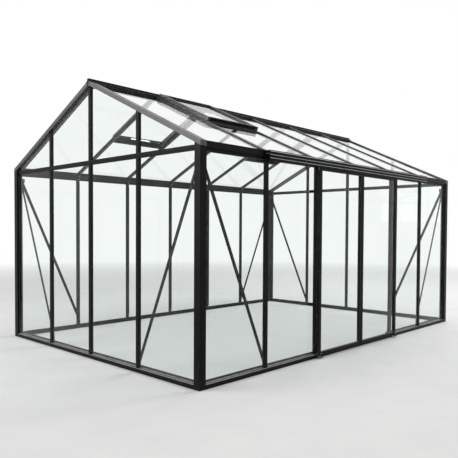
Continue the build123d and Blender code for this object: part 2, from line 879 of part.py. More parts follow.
def leaf_rails():
    """Bottom and top rails between the stiles, each grooved for the glass."""
    profile = stile_section(LEAF_RAIL)
    x0 = LEAF_LEFT + OUTER_STILE
    x1 = LEAF_RIGHT - MEETING_STILE
    bottom = section([(n, LEAF_BOTTOM + z) for z, n in profile])
    top = section([(n, LEAF_TOP - z) for z, n in profile])
    return [along(bottom, x0, x1), along(top, x0, x1)]


def leaf_glass():
    edge = GROOVE - EDGE_PLAY
    pane = box(
        LEAF_LEFT + OUTER_STILE - edge,
        LEAF_RIGHT - MEETING_STILE + edge,
        LEAF_GLASS_FRONT,
        LEAF_GLASS_FRONT + GLASS,
        LEAF_BOTTOM + LEAF_RAIL - edge,
        LEAF_TOP - LEAF_RAIL + edge,
    )
    return [pane]


def hanger_places():
    return LEAF_LEFT + HANGER_INSET, LEAF_RIGHT - HANGER_INSET


def pin(x, y0, y1, z, radius):
    """A round bar along y."""
    face = Plane.XZ.offset(-y0) * Pos(x, z) * Circle(radius)
    return extrude(face, amount=y0 - y1)


def leaf_hangers():
    """Angle brackets on the leaf's head, each with the axle of its roller."""
    hangers = []
    half = HANGER_WIDTH / 2
    top = AXLE_HEIGHT + HANGER_MARGIN
    for x in hanger_places():
        outline = section([
            (x - half, LEAF_TOP),
            (x + half, LEAF_TOP),
            (x + half, top - HANGER_CORNER),
            (x + half - HANGER_CORNER, top),
            (x - half + HANGER_CORNER, top),
            (x - half, top - HANGER_CORNER),
        ])
        plate = extrude(Plane.XZ.offset(-HANGER_BACK) * outline, amount=HANGER_THICKNESS)
        toe = HANGER_BACK + HANGER_FOOT
        foot = box(x - half, x + half, HANGER_BACK, toe, LEAF_TOP, LEAF_TOP + HANGER_THICKNESS)
        axle = pin(x, HANGER_BACK - 1, ROLLER_MIDDLE + ROLLER_WIDTH / 2 + 2, AXLE_HEIGHT, AXLE_RADIUS)
        hangers.append(plate + foot + axle)
    return hangers


def leaf_rollers():
    """Grooved rollers that straddle the track's lip."""
    half = ROLLER_WIDTH / 2
    groove = ROLLER_GROOVE / 2
    bore = AXLE_RADIUS + AXLE_PLAY
    profile = [
        (bore, -half),
        (ROLLER_RADIUS, -half),
        (ROLLER_RADIUS, -groove - 0.5),
        (ROLLER_GROOVE_RADIUS, -groove),
        (ROLLER_GROOVE_RADIUS, groove),
        (ROLLER_RADIUS, groove + 0.5),
        (ROLLER_RADIUS, half),
        (bore, half),
    ]
    wheel = revolve(section(profile), axis=Axis.Y)
    return [Pos(x, ROLLER_MIDDLE, AXLE_HEIGHT) * wheel for x in hanger_places()]


def door_guides():
    """Plates under the leaves' outer stiles and the upright rollers that hold them in."""
    plates = []
    rollers = []
    start, end = door_opening()
    for x in (start - GUIDE_WIDTH / 2, end + GUIDE_WIDTH / 2):
        plates.append(box(
            x - GUIDE_WIDTH / 2,
            x + GUIDE_WIDTH / 2,
            -GUIDE_REACH,
            0,
            GUIDE_PLATE_BOTTOM,
            GUIDE_PLATE_BOTTOM + GUIDE_PLATE,
        ))
        y = LEAF_FRONT - GUIDE_ROLLER_GAP - GUIDE_ROLLER_RADIUS
        foot = GUIDE_PLATE_BOTTOM + GUIDE_PLATE
        rollers.append(Pos(x, y, foot) * extrude(Circle(GUIDE_ROLLER_RADIUS), amount=GUIDE_ROLLER_TOP - foot))
    return plates, rollers


def write(name, pieces):
    """Moves the pieces to the part's frame and writes them as one file."""
    frame = Pos(-CENTRE_X, -CENTRE_Y, 0)
    solids = []
    for piece in pieces:
        solids += [frame * solid for solid in piece.solids()]
    export_step(Compound(children=solids), f"parts/{name}.step")


os.makedirs("parts", exist_ok=True)

write("base_sills", base_sills())
write("doorway_threshold", doorway_threshold())
write("corner_posts", corner_posts())
write("door_side_mullions", side_mullions(DOOR_SIDE, skip=(DOOR_FIRST_BAY + 1,)))
write("back_side_mullions", side_mullions(BACK_SIDE))
write("front_gable_mullions", gable_mullions(FRONT_GABLE))
write("rear_gable_mullions", gable_mullions(REAR_GABLE))
write("bottom_glazing_rails", bottom_glazing_rails())
write("front_gable_tie_rails", gable_tie_rails(FRONT_GABLE))
write("rear_gable_tie_rails", gable_tie_rails(REAR_GABLE))
write("door_side_eaves_beam", eaves_beam("door"))
write("back_side_eaves_beam", eaves_beam("back"))
write("wind_braces", wind_braces())

write("door_side_glass", lower_panes(DOOR_SIDE, SIDE_BAYS, BEAM_BOTTOM, DOOR_BAY_NUMBERS))
write("back_side_glass", lower_panes(BACK_SIDE, SIDE_BAYS, BEAM_BOTTOM))
write("front_gable_glass", lower_panes(FRONT_GABLE, GABLE_BAYS, TIE_BOTTOM))
write("rear_gable_glass", lower_panes(REAR_GABLE, GABLE_BAYS, TIE_BOTTOM))
write("front_gable_top_glass", gable_top_panes(FRONT_GABLE))
write("rear_gable_top_glass", gable_top_panes(REAR_GABLE))

FRONT_RAFTERS = gable_rafters()
DOOR_ROOF_BARS = roof_bars()
write("ridge_beam", ridge_beam())
write("front_gable_rafters", FRONT_RAFTERS)
write("rear_gable_rafters", [at_other_end(r) for r in FRONT_RAFTERS])
write("door_side_roof_bars", DOOR_ROOF_BARS)
write("back_side_roof_bars", [over_ridge(b) for b in DOOR_ROOF_BARS])
write("door_side_roof_glass", roof_panes(VENT_BAYS_DOOR_SIDE))
write("back_side_roof_glass", [over_ridge(p) for p in roof_panes(VENT_BAYS_BACK_SIDE)])
write("roof_vent_stiles", on_all_vents(vent_stiles))
write("roof_vent_rails", on_all_vents(vent_rails))
write("roof_vent_glass", on_all_vents(vent_glass))
write("roof_vent_crossbars", on_all_vents(vent_crossbar))
write("roof_vent_stays", on_all_vents(vent_stay))

write("door_track_rail", door_track_rail())
write("door_track_cover", door_track_cover())
write("door_track_top", door_track_top())
write("door_track_ends", door_track_ends())
GUIDE_PLATES, GUIDE_ROLLERS = door_guides()
write("door_guide_plates", GUIDE_PLATES)
write("door_guide_rollers", GUIDE_ROLLERS)

for kind, make in (
    ("stiles", leaf_stiles),
    ("rails", leaf_rails),
    ("glass", leaf_glass),
    ("hangers", leaf_hangers),
    ("rollers", leaf_rollers),
):
    left = make()
    write(f"left_door_{kind}", left)
    write(f"right_door_{kind}", [at_other_end(p) for p in left])
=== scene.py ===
from functools import cached_property
import json
import math

import bmesh
import bpy
from mathutils import Matrix, Vector
from mathutils.geometry import tessellate_polygon


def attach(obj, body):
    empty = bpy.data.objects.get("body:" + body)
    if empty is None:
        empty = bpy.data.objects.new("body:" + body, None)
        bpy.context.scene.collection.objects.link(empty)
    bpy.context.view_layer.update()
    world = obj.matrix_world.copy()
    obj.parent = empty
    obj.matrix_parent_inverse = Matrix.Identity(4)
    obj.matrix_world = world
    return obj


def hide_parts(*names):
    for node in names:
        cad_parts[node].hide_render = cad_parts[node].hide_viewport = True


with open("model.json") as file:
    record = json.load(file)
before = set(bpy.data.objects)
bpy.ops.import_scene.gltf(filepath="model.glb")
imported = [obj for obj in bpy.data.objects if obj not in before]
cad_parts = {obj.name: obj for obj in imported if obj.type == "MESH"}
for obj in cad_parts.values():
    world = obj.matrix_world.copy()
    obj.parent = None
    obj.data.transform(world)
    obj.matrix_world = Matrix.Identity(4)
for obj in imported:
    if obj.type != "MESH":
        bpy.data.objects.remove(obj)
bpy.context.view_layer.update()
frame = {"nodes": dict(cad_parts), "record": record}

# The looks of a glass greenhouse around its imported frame.
# Pieces are drawn in millimetres as the frame is: the door side's outer face at y = 0, the
# front gable's at x = 0 and the ground at z = 0. They are then moved to the row's frame.
# A wall is drawn in its own frame: u along it, n inwards from its outer face, z up.
# A roof slope is drawn in its own frame: x along the ridge, s down the slope from the
# ridge line and r outwards from the roof's outer surface.
MM = 0.001

# Bays and the outline
BAY = 740.0
GABLE_BAYS = 4
SIDE_BAYS = 6
EAVES_HEIGHT = 1895.0
RIDGE_HEIGHT = 2610.0
POST = 66.0
POST_CENTRE = 56.0
GUIDE_REACH = 58.0
WIDTH = GABLE_BAYS * BAY + 2 * POST_CENTRE
LENGTH = SIDE_BAYS * BAY + 2 * POST_CENTRE
HALF_WIDTH = WIDTH / 2
CENTRE_X = LENGTH / 2
CENTRE_Y = (WIDTH - GUIDE_REACH) / 2
SLOPE = math.atan2(RIDGE_HEIGHT - EAVES_HEIGHT, HALF_WIDTH)
TAN = math.tan(SLOPE)
COS = math.cos(SLOPE)

# Bars and the glass in them
GLASS = 4.0
CAP_HALF = 21.0
REAR_HALF = 12.0
BAR_FRONT = 14.0
BAR_REAR = 48.0
GLASS_OUTER = 24.0
GLASS_INNER = GLASS_OUTER + GLASS
LEDGE_HEIGHT = 34.0
BEAM_HEIGHT = 78.0
BEAM_RAIL_HEIGHT = 26.0
BEAM_BOTTOM = EAVES_HEIGHT - BEAM_HEIGHT
BEAM_UNDERSIDE = BEAM_BOTTOM + BEAM_RAIL_HEIGHT
RAFTER_DEPTH = 38.0
RAFTER_FLANGE = 18.0
TIE_BELOW_RAFTER = 18.0
TIE_HEIGHT = 40.0
TIE_DEPTH = 32.0
TIE_TOP = EAVES_HEIGHT + POST * TAN - RAFTER_DEPTH / COS - TIE_BELOW_RAFTER
TIE_BOTTOM = TIE_TOP - TIE_HEIGHT
TIE_BACK = BAR_FRONT + TIE_DEPTH
BRACE_HEAD_DROP = 100.0
BRACE_THICKNESS = 4.0
BRACE_TOP = EAVES_HEIGHT - BRACE_HEAD_DROP
BRACE_FOOT = 80.0
BRACE_BACK = BAR_REAR + BRACE_THICKNESS

# Roof
ROOF_GLASS_TOP = -14.0
ROOF_GLASS_UNDER = ROOF_GLASS_TOP - GLASS
ROOF_BAR_REAR = -38.0
GLASS_OVERHANG = 14.0
BEAM_SEAT_INSET = 22.0
ROOF_FOOT = (HALF_WIDTH - GLASS_OVERHANG) / COS + ROOF_GLASS_UNDER * TAN
BEAM_SEAT = (HALF_WIDTH - BEAM_SEAT_INSET) / COS
EAVES_INNER = (HALF_WIDTH - POST) / COS
RIDGE_DROP = 60.0
RIDGE_CAP_HALF = 44.0
RIDGE_CAP_TOP = 5.0

# Roof vents
VENT_BAYS = {"door": (1,), "back": (1, 4)}
VENT_JOINT = 1.0
VENT_START = RIDGE_CAP_HALF / COS + VENT_JOINT
VENT_END = 848.0
VENT_FRAME = 36.0
VENT_LAP = 14.0
VENT_FLOOR = -4.0
VENT_GLASS_UNDER = VENT_FLOOR + 20.0
VENT_GLASS_TOP = VENT_GLASS_UNDER + GLASS
CROSSBAR_LIP = VENT_END + 42.0
STAY_LENGTH = 280.0
STAY_WIDTH = 16.0
STAY_THICKNESS = 4.0

# Doors; a guide carries a roller in front of each leaf's foot
DOOR_FIRST_MARK = 2
DOOR_BAYS = (DOOR_FIRST_MARK, DOOR_FIRST_MARK + 1)
LEAF_GAP = 8.0
LEAF_THICKNESS = 30.0
LEAF_LAP = 28.0
LEAF_HEAD_GAP = 16.0
MEETING_GAP = 6.0
OUTER_STILE = 40.0
MEETING_STILE = 34.0
LEAF_RAIL = 34.0
LEAF_BOTTOM = 30.0
HANGER_INSET = 70.0
HANGER_THICKNESS = 4.0
HANGER_FACE = -37.0
ROLLER_RADIUS = 17.0
ROLLER_GROOVE_RADIUS = 14.0
ROLLER_RUNNING_GAP = 0.3
TRACK_RAIL_BELOW_BEAM = 6.0
TRACK_LIP_HEIGHT = 14.0
TRACK_PAST_MULLION = 40.0
TRAVEL_SHORT_OF_BAY = 10.0
STOP_PLAY = 6.0
GUIDE_WIDTH = 40.0
GUIDE_PLATE_TOP = 20.0
GUIDE_ROLLER_LINE = -49.0
GUIDE_ROLLER_TOP = 50.0
TRACK_RAIL_BOTTOM = BEAM_UNDERSIDE - TRACK_RAIL_BELOW_BEAM
LEAF_TOP = TRACK_RAIL_BOTTOM - LEAF_HEAD_GAP
LEAF_BACK = -LEAF_GAP
LEAF_MIDDLE = LEAF_BACK - LEAF_THICKNESS / 2
AXLE_HEIGHT = TRACK_RAIL_BOTTOM + TRACK_LIP_HEIGHT + ROLLER_RUNNING_GAP + ROLLER_GROOVE_RADIUS


def side_mark(k):
    """Distance along a wall to the centre of mullion k, counted from a corner."""
    return POST_CENTRE + k * BAY


LEAF_LEFT = side_mark(DOOR_FIRST_MARK) - LEAF_LAP
LEAF_RIGHT = CENTRE_X - MEETING_GAP / 2
HANGERS = (LEAF_LEFT + HANGER_INSET, LEAF_RIGHT - HANGER_INSET)
TRACK_START = side_mark(1) - TRACK_PAST_MULLION
TRACK_END = side_mark(SIDE_BAYS - 1) + TRACK_PAST_MULLION
STOP_FACE = HANGERS[0] - (BAY - TRAVEL_SHORT_OF_BAY) - ROLLER_RADIUS - STOP_PLAY


# Where a profile drawn in (a, b) and pulled along t lands in a wall's or a slope's own frame

def run(a, b, t):
    """Profile in n and z, pulled along u."""
    return (t, a, b)


def stand(a, b, t):
    """Profile in u and n, pulled up z."""
    return (a, b, t)


def through(a, b, t):
    """Outline in u and z, pulled inwards along n."""
    return (a, t, b)


def down(a, b, t):
    """Profile in x and r, pulled down the slope along s."""
    return (a, -t, b)


def across(a, b, t):
    """Profile in s and r, pulled along the ridge."""
    return (t, -a, b)


def on_slope(a, b, t):
    """Outline in x and s, pulled outwards along r, or a point at x, s and r."""
    return (a, -b, t)


def turned_place(x, y, degrees):
    return Matrix.Translation((x, y, 0)) @ Matrix.Rotation(math.radians(degrees), 4, "Z")


AS_DRAWN = Matrix.Identity(4)
ACROSS_RIDGE = Matrix.Translation((0, WIDTH, 0)) @ Matrix.Diagonal((1, -1, 1, 1))
ACROSS_MIDDLE = Matrix.Translation((LENGTH, 0, 0)) @ Matrix.Diagonal((-1, 1, 1, 1))
TO_ROW = Matrix.Scale(MM, 4) @ Matrix.Translation((-CENTRE_X, -CENTRE_Y, 0))
WALLS = {
    "door_side": (AS_DRAWN, SIDE_BAYS),
    "back_side": (turned_place(LENGTH, WIDTH, 180), SIDE_BAYS),
    "front_gable": (turned_place(0, WIDTH, -90), GABLE_BAYS),
    "rear_gable": (turned_place(LENGTH, 0, 90), GABLE_BAYS),
}
SIDES = {"door": AS_DRAWN, "back": ACROSS_RIDGE}
GABLES = {"front_gable": AS_DRAWN, "rear_gable": ACROSS_MIDDLE}
DOOR_SLOPE = Matrix.Translation((0, HALF_WIDTH, RIDGE_HEIGHT)) @ Matrix.Rotation(SLOPE, 4, "X")
SLOPES = {side: place @ DOOR_SLOPE for side, place in SIDES.items()}

# Angles in degrees: edges sharper than the first are eased, and edges flatter than the others
# are shaded smooth on pieces of that kind
EASED_ABOVE = 40.0
SMOOTH_RUBBER = 50.0
SMOOTH_TURNED = 40.0
SMOOTH_NUTS = 35.0


class Shape:
    """Collects solids in millimetres, and becomes one object in the row's frame."""

    def __init__(self):
        self.points = []
        self.faces = []

    def add(self, place, points, faces):
        start = len(self.points)
        self.points += [TO_ROW @ place @ Vector(p) for p in points]
        self.faces += [[start + i for i in face] for face in faces]

    def prism(self, place, order, outline, t0, t1, holes=()):
        """An outline with holes, pulled from t0 to t1."""
        loops = [list(outline)] + [list(hole) for hole in holes]
        flat = [[Vector((a, b, 0)) for a, b in loop] for loop in loops]
        caps = tessellate_polygon(flat)
        corners = [point for loop in loops for point in loop]
        count = len(corners)
        points = [order(a, b, t0) for a, b in corners] + [order(a, b, t1) for a, b in corners]
        faces = [list(cap) for cap in caps] + [[count + i for i in cap] for cap in caps]
        first = 0
        for loop in loops:
            size = len(loop)
            for i in range(size):
                j = (i + 1) % size
                faces.append([first + i, first + j, count + first + j, count + first + i])
            first += size
        self.add(place, points, faces)

    def turned(self, place, profile, sides, spin=0.0):
        """A closed shape turned about z from (radius, height) pairs; radius 0 is a point."""
        points = []
        rings = []
        for radius, height in profile:
            ring = []
            steps = 1 if radius == 0 else sides
            for i in range(steps):
                angle = spin + 2 * math.pi * i / sides
                ring.append(len(points))
                points.append((radius * math.cos(angle), radius * math.sin(angle), height))
            rings.append(ring)
        faces = []
        for low, high in zip(rings, rings[1:]):
            for i in range(sides):
                j = (i + 1) % sides
                loop = [
                    low[i % len(low)],
                    low[j % len(low)],
                    high[j % len(high)],
                    high[i % len(high)],
                ]
                faces.append(list(dict.fromkeys(loop)))
        for ring in (rings[0], rings[-1]):
            if len(ring) > 1:
                faces.append(list(ring))
        self.add(place, points, faces)

    def finish(self, name, body, material, slot=None, edge=0.0, smooth=None):
        """Makes the object. Its edges are eased by edge millimetres, and edges flatter than
        smooth degrees are shaded as one surface."""
        mesh = bpy.data.meshes.new(name)
        mesh.from_pydata([tuple(p) for p in self.points], [], self.faces)
        work = bmesh.new()
        work.from_mesh(mesh)
        bmesh.ops.recalc_face_normals(work, faces=work.faces)
        work.to_mesh(mesh)
        work.free()
        piece = bpy.data.objects.new(name, mesh)
        bpy.context.scene.collection.objects.link(piece)
        mesh.materials.append(material)
        if smooth is not None:
            mesh.shade_smooth()
            mesh.set_sharp_from_angle(angle=math.radians(smooth))
        if edge:
            bevel = piece.modifiers.new("eased_edges", "BEVEL")
            bevel.width = edge * MM
            bevel.segments = 2
            bevel.limit_method = "ANGLE"
            bevel.angle_limit = math.radians(EASED_ABOVE)
        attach(piece, body)
        return piece


# Materials

# Nearly all of a noise's values lie in this span
NOISE_SPAN = (0.3, 0.7)

# Where a Mix node keeps its sockets for colours
MIX_COLOURS = (6, 7)
MIX_RESULT = 2


class Nodes:
    """The node tree of a material or a world, with short calls for the nodes used here."""

    def __init__(self, owner, output):
        owner.use_nodes = True
        self.owner = owner
        self.tree = owner.node_tree
        self.tree.nodes.clear()
        self.output = self.add(output)

    def add(self, kind, **settings):
        node = self.tree.nodes.new("ShaderNode" + kind)
        for key, value in settings.items():
            setattr(node, key, value)
        return node

    def link(self, source, target):
        self.tree.links.new(source, target)

    @cached_property
    def place(self):
        """Where a point lies in the row's frame, in metres."""
        return self.add("TexCoord").outputs["Object"]

    def height(self):
        """Height above the ground, in metres."""
        return self.upright_share(self.place)

    def upright_share(self, vector):
        """The vector's share along z."""
        split = self.add("SeparateXYZ")
        self.link(vector, split.inputs["Vector"])
        return split.outputs["Z"]

    def noise(self, scale, detail=4.0, roughness=0.55, stretch=(1, 1, 1)):
        mapping = self.add("Mapping")
        mapping.inputs["Scale"].default_value = stretch
        self.link(self.place, mapping.inputs["Vector"])
        node = self.add("TexNoise")
        node.inputs["Scale"].default_value = scale
        node.inputs["Detail"].default_value = detail
        node.inputs["Roughness"].default_value = roughness
        self.link(mapping.outputs["Vector"], node.inputs["Vector"])
        return node.outputs["Fac"]

    def spread(self, source, low, high, start=0.0, end=1.0):
        """The source's range from low to high as start to end."""
        node = self.add("MapRange")
        node.inputs["From Min"].default_value = low
        node.inputs["From Max"].default_value = high
        node.inputs["To Min"].default_value = start
        node.inputs["To Max"].default_value = end
        self.link(source, node.inputs["Value"])
        return node.outputs["Result"]

    def mottle(self, source, start=0.0, end=1.0):
        """A noise stretched so that nearly all of it goes from start to end."""
        return self.spread(source, *NOISE_SPAN, start, end)

    def patches(self, noise, span, result=(0.0, 1.0)):
        """A noise with this span of its values as the result's span."""
        return self.spread(self.noise(*noise), *span, *result)

    def math(self, operation, first, second):
        node = self.add("Math", operation=operation)
        for socket, value in zip(node.inputs, (first, second)):
            if isinstance(value, (int, float)):
                socket.default_value = value
            else:
                self.link(value, socket)
        return node.outputs["Value"]

    def mix(self, factor, first, second):
        """The first colour where the factor is 0, the second where it is 1."""
        node = self.add("Mix", data_type="RGBA")
        self.link(factor, node.inputs["Factor"])
        for index, value in zip(MIX_COLOURS, (first, second)):
            socket = node.inputs[index]
            if isinstance(value, tuple):
                socket.default_value = (*value, 1)
            else:
                self.link(value, socket)
        return node.outputs[MIX_RESULT]

    def either(self, factor, first, second):
        """The first shader where the factor is 0, the second where it is 1."""
        node = self.add("MixShader")
        self.link(factor, node.inputs[0])
        self.link(first, node.inputs[1])
        self.link(second, node.inputs[2])
        return node.outputs["Shader"]

    def bump(self, source, strength, distance, normal=None):
        node = self.add("Bump")
        node.inputs["Strength"].default_value = strength
        node.inputs["Distance"].default_value = distance
        self.link(source, node.inputs["Height"])
        if normal is not None:
            self.link(normal, node.inputs["Normal"])
        return node.outputs["Normal"]

    def shader(self, **values):
        node = self.add("BsdfPrincipled")
        for key, value in values.items():
            node.inputs[key.replace("_", " ")].default_value = value
        return node

    def show(self, surface):
        """Links the finished shader, and gives the material or world that it belongs to."""
        self.link(surface, self.output.inputs["Surface"])
        return self.owner


def material_nodes(name):
    return Nodes(bpy.data.materials.new(name), "OutputMaterial")


# A patch pattern: the noise's scale, detail and so on, the span of its values that is used, and
# what that span becomes
COLOUR_PATCHES = ((9.0, 5.0), NOISE_SPAN)
# Patches of the painted highlight on the faces that look up
PAINTED_HIGHLIGHT_PATCHES = ((11.0, 6.0), (0.28, 0.66))
# Patches along the edges, partly wear and partly painted highlight
WORN_AND_HIGHLIT_EDGE_PATCHES = ((55.0, 3.0), (0.42, 0.68), (0.0, 0.75))
DUST_PATCHES = ((22.0, 6.0), (0.36, 0.62), (0.55, 0.95))
SHINE_PATCHES = ((13.0, 4.0), NOISE_SPAN, (0.29, 0.42))
ORANGE_PEEL = (640.0, 2.0)
COAT_IOR = 1.45
# Grey of the edges, partly wear and partly painted highlight
WORN_AND_HIGHLIT_EDGE_GREY = (0.075, 0.072, 0.072)
EDGE_RADIUS = 0.0016
EDGE_LEAN = (0.995, 0.90)
# Hue of the painted highlight on the faces that look up
PAINTED_HIGHLIGHT_HUE = (1.0, 0.97, 0.95)
DUST = (0.430, 0.420, 0.410)
DUST_REACH = 0.28
DUST_ON_SIDES = 0.012
DUST_ROUGHNESS = 0.4


def worn_and_highlit_edges(n, rounded, flat):
    """Edge wear and painted edge highlight: patches where the rounded normal leans off the flat
    one.
    """
    dot = n.add("VectorMath", operation="DOT_PRODUCT")
    n.link(rounded, dot.inputs[0])
    n.link(flat, dot.inputs[1])
    edge = n.spread(dot.outputs["Value"], *EDGE_LEAN)
    return n.math("MULTIPLY", edge, n.patches(*WORN_AND_HIGHLIT_EDGE_PATCHES))


def ledge_dust(n, upward):
    """Dust near the ground, thick on the faces that look up and a trace on the others."""
    low = n.spread(n.height(), DUST_REACH, 0.0)
    dust = n.math("MULTIPLY", low, n.patches(*DUST_PATCHES))
    return n.math("MULTIPLY", dust, n.spread(upward, 0.0, 1.0, DUST_ON_SIDES, 1.0))


def coat_material(name, gloss, dark, light, crowns=(0.84, 1.0), highlight_tone=0.16, highlight_strengths=(0.35, 0.95)):
    """Powder coat: fine orange peel, faint mottling, edges partly worn and partly given a painted
    highlight, a painted highlight on the faces that look up, and dust on the faces that look
    up, most of all on the ledges near the ground. Over the span of slants in crowns, the painted
    highlight of the given lightness grows from none to its full strength, which varies from
    place to place over the given span."""
    n = material_nodes(name)
    shader = n.shader(Metallic=0.0, IOR=COAT_IOR, Specular_IOR_Level=gloss)
    colour = n.mix(n.patches(*COLOUR_PATCHES), dark, light)
    bevel = n.add("Bevel", samples=4)
    bevel.inputs["Radius"].default_value = EDGE_RADIUS
    rounded = bevel.outputs["Normal"]
    flat = n.add("NewGeometry").outputs["Normal"]
    # Paler edges, partly wear and partly a painted highlight along them
    colour = n.mix(worn_and_highlit_edges(n, rounded, flat), colour, WORN_AND_HIGHLIT_EDGE_GREY)
    upward = n.spread(n.upright_share(flat), *crowns)
    # Painted highlight: faces that look up are lightened towards a pale grey, standing in for the
    # sky's sheen on them
    painted_highlight = n.math("MULTIPLY", upward, n.patches(*PAINTED_HIGHLIGHT_PATCHES, highlight_strengths))
    colour = n.mix(painted_highlight, colour, tuple(highlight_tone * share for share in PAINTED_HIGHLIGHT_HUE))
    dust = ledge_dust(n, upward)
    n.link(n.mix(dust, colour, DUST), shader.inputs["Base Color"])
    shine = n.patches(*SHINE_PATCHES)
    rough = n.math("ADD", shine, n.math("MULTIPLY", dust, DUST_ROUGHNESS))
    n.link(rough, shader.inputs["Roughness"])
    peel = n.bump(n.noise(*ORANGE_PEEL), strength=0.22, distance=0.0006, normal=rounded)
    n.link(peel, shader.inputs["Normal"])
    return n.show(shader.outputs["BSDF"])


GLASS_IOR = 1.18
GLASS_TINTS = ((0.936, 0.964, 0.953), (0.950, 0.972, 0.964))
GLASS_SHADOW = (0.938, 0.956, 0.950, 1)
TINT_SCALE = 1.5
WAVES = (2.2, 1.0)
WATER_MARKS = ((3.2, 6.0, 0.6, (1, 1, 0.5)), (0.45, 0.85), (0.0, 0.014))
SPOTS = ((95.0, 3.0), (0.66, 0.76), (0.0, 0.05))
FOOT_HAZE = (0.35, 0.03, 0.0, 0.05)
FOOT_HAZE_SCALE = 30.0


def glass_haze(n):
    """Faint water marks and spots all over, and dust near the panes' feet."""
    marks = n.patches(*WATER_MARKS)
    spots = n.patches(*SPOTS)
    foot = n.spread(n.height(), *FOOT_HAZE)
    all_over = n.math("ADD", marks, spots)
    return n.math("ADD", all_over, n.math("MULTIPLY", foot, n.noise(FOOT_HAZE_SCALE)))


def glass_material():
    """Clear glass with a slight green tint and a little haze. Light that falls through it on
    the object passes straight."""
    n = material_nodes("clear_float_glass")
    shader = n.shader(IOR=GLASS_IOR, Metallic=0.0, Roughness=0.0)
    n.link(n.math("SUBTRACT", 1.0, glass_haze(n)), shader.inputs["Transmission Weight"])
    n.link(n.mix(n.noise(TINT_SCALE), *GLASS_TINTS), shader.inputs["Base Color"])
    n.link(n.bump(n.noise(*WAVES), strength=0.05, distance=0.002), shader.inputs["Normal"])
    clear = n.add("BsdfTransparent")
    clear.inputs["Color"].default_value = GLASS_SHADOW
    straight = clear.outputs["BSDF"]
    path = n.add("LightPath")
    seen = n.either(path.outputs["Is Diffuse Ray"], shader.outputs["BSDF"], straight)
    return n.show(n.either(path.outputs["Is Shadow Ray"], seen, straight))


METAL_GRAIN = (240.0, 3.0, 0.6)
METAL_TARNISH = (40.0, 4.0)


def plain_metal(name, dark, light, rough, grain_stretch):
    """Bare metal: drawn grain along its length, and uneven shine over the span in rough."""
    n = material_nodes(name)
    shader = n.shader(Metallic=1.0)
    grain = n.noise(*METAL_GRAIN, grain_stretch)
    n.link(n.mix(n.mottle(grain), dark, light), shader.inputs["Base Color"])
    n.link(n.mottle(n.noise(*METAL_TARNISH), *rough), shader.inputs["Roughness"])
    n.link(n.bump(grain, strength=0.15, distance=0.0003), shader.inputs["Normal"])
    return n.show(shader.outputs["BSDF"])


SOFT_DETAIL = 3.0
SOFT_GLOSS = 0.35
SOFT_PATCH_SIZE = 6


def soft_black(name, dark, light, rough, scale, strength):
    """Black rubber or nylon: a fine matt grain, and uneven shine over the span in rough."""
    n = material_nodes(name)
    shader = n.shader(Metallic=0.0, Specular_IOR_Level=SOFT_GLOSS)
    grain = n.noise(scale, SOFT_DETAIL)
    patches = n.noise(scale / SOFT_PATCH_SIZE, SOFT_DETAIL)
    n.link(n.mix(n.mottle(grain), dark, light), shader.inputs["Base Color"])
    n.link(n.mottle(patches, *rough), shader.inputs["Roughness"])
    n.link(n.bump(grain, strength, distance=0.0004), shader.inputs["Normal"])
    return n.show(shader.outputs["BSDF"])


MATT = 0.075
SATIN = 0.55
BLACKS = ((0.0036, 0.0036, 0.0048), (0.0072, 0.0070, 0.0082))
# The roof's and vents' greys are the black coat lightened: a painted sheen of the sky these members
# mirror
ROOF_PAINTED_SHEEN_GREYS = ((0.026, 0.023, 0.021), (0.042, 0.037, 0.035))
VENT_PAINTED_SHEEN_GREYS = ((0.040, 0.036, 0.036), (0.062, 0.056, 0.056))
ALUMINIUM_GREYS = ((0.40, 0.41, 0.43), (0.62, 0.63, 0.65))
ZINC_GREYS = ((0.34, 0.34, 0.36), (0.56, 0.56, 0.57))
RUBBER_BLACKS = ((0.006, 0.006, 0.006), (0.014, 0.014, 0.014))
NYLON_BLACKS = ((0.009, 0.009, 0.010), (0.017, 0.017, 0.018))
COAT = coat_material("black_powder_coat", MATT, *BLACKS)
# Copies of the black coat lightened by painted sheen, for the rafters, roof bars and vent stiles
ROOF_COAT = coat_material("satin_roof_coat_painted_sheen", SATIN, *ROOF_PAINTED_SHEEN_GREYS)
VENT_COAT = coat_material("satin_vent_coat_painted_sheen", SATIN, *VENT_PAINTED_SHEEN_GREYS)
# The track cover's bead crowns carry a strong pale painted highlight, standing in for the sky they
# mirror
COVER_COAT = coat_material(
    "ribbed_cover_coat_painted_highlights", MATT, *BLACKS, crowns=(0.45, 0.75), highlight_tone=0.72, highlight_strengths=(0.75, 1.0)
)
CLEAR_GLASS = glass_material()
ALUMINIUM = plain_metal(
    "mill_aluminium", *ALUMINIUM_GREYS, rough=(0.30, 0.48), grain_stretch=(0.05, 1, 1)
)
ZINC = plain_metal("zinc_plated_steel", *ZINC_GREYS, rough=(0.26, 0.44), grain_stretch=(1, 1, 1))
RUBBER = soft_black("black_rubber", *RUBBER_BLACKS, rough=(0.54, 0.70), scale=420.0, strength=0.25)
NYLON = soft_black("black_nylon", *NYLON_BLACKS, rough=(0.34, 0.50), scale=700.0, strength=0.12)
SLOT_LOOKS = {
    "frame_coat": COAT,
    "clear_glass": CLEAR_GLASS,
    "stay_metal": ALUMINIUM,
    "nylon": NYLON,
}
# Pieces that take a lit copy of the coat: painted sheen on the roof members, painted crown
# highlights on the track cover
NODE_LOOKS = {
    "front_gable_rafters": ROOF_COAT,
    "rear_gable_rafters": ROOF_COAT,
    "door_side_roof_bars": ROOF_COAT,
    "back_side_roof_bars": ROOF_COAT,
    "roof_vent_stiles": VENT_COAT,
    "door_track_cover": COVER_COAT,
}


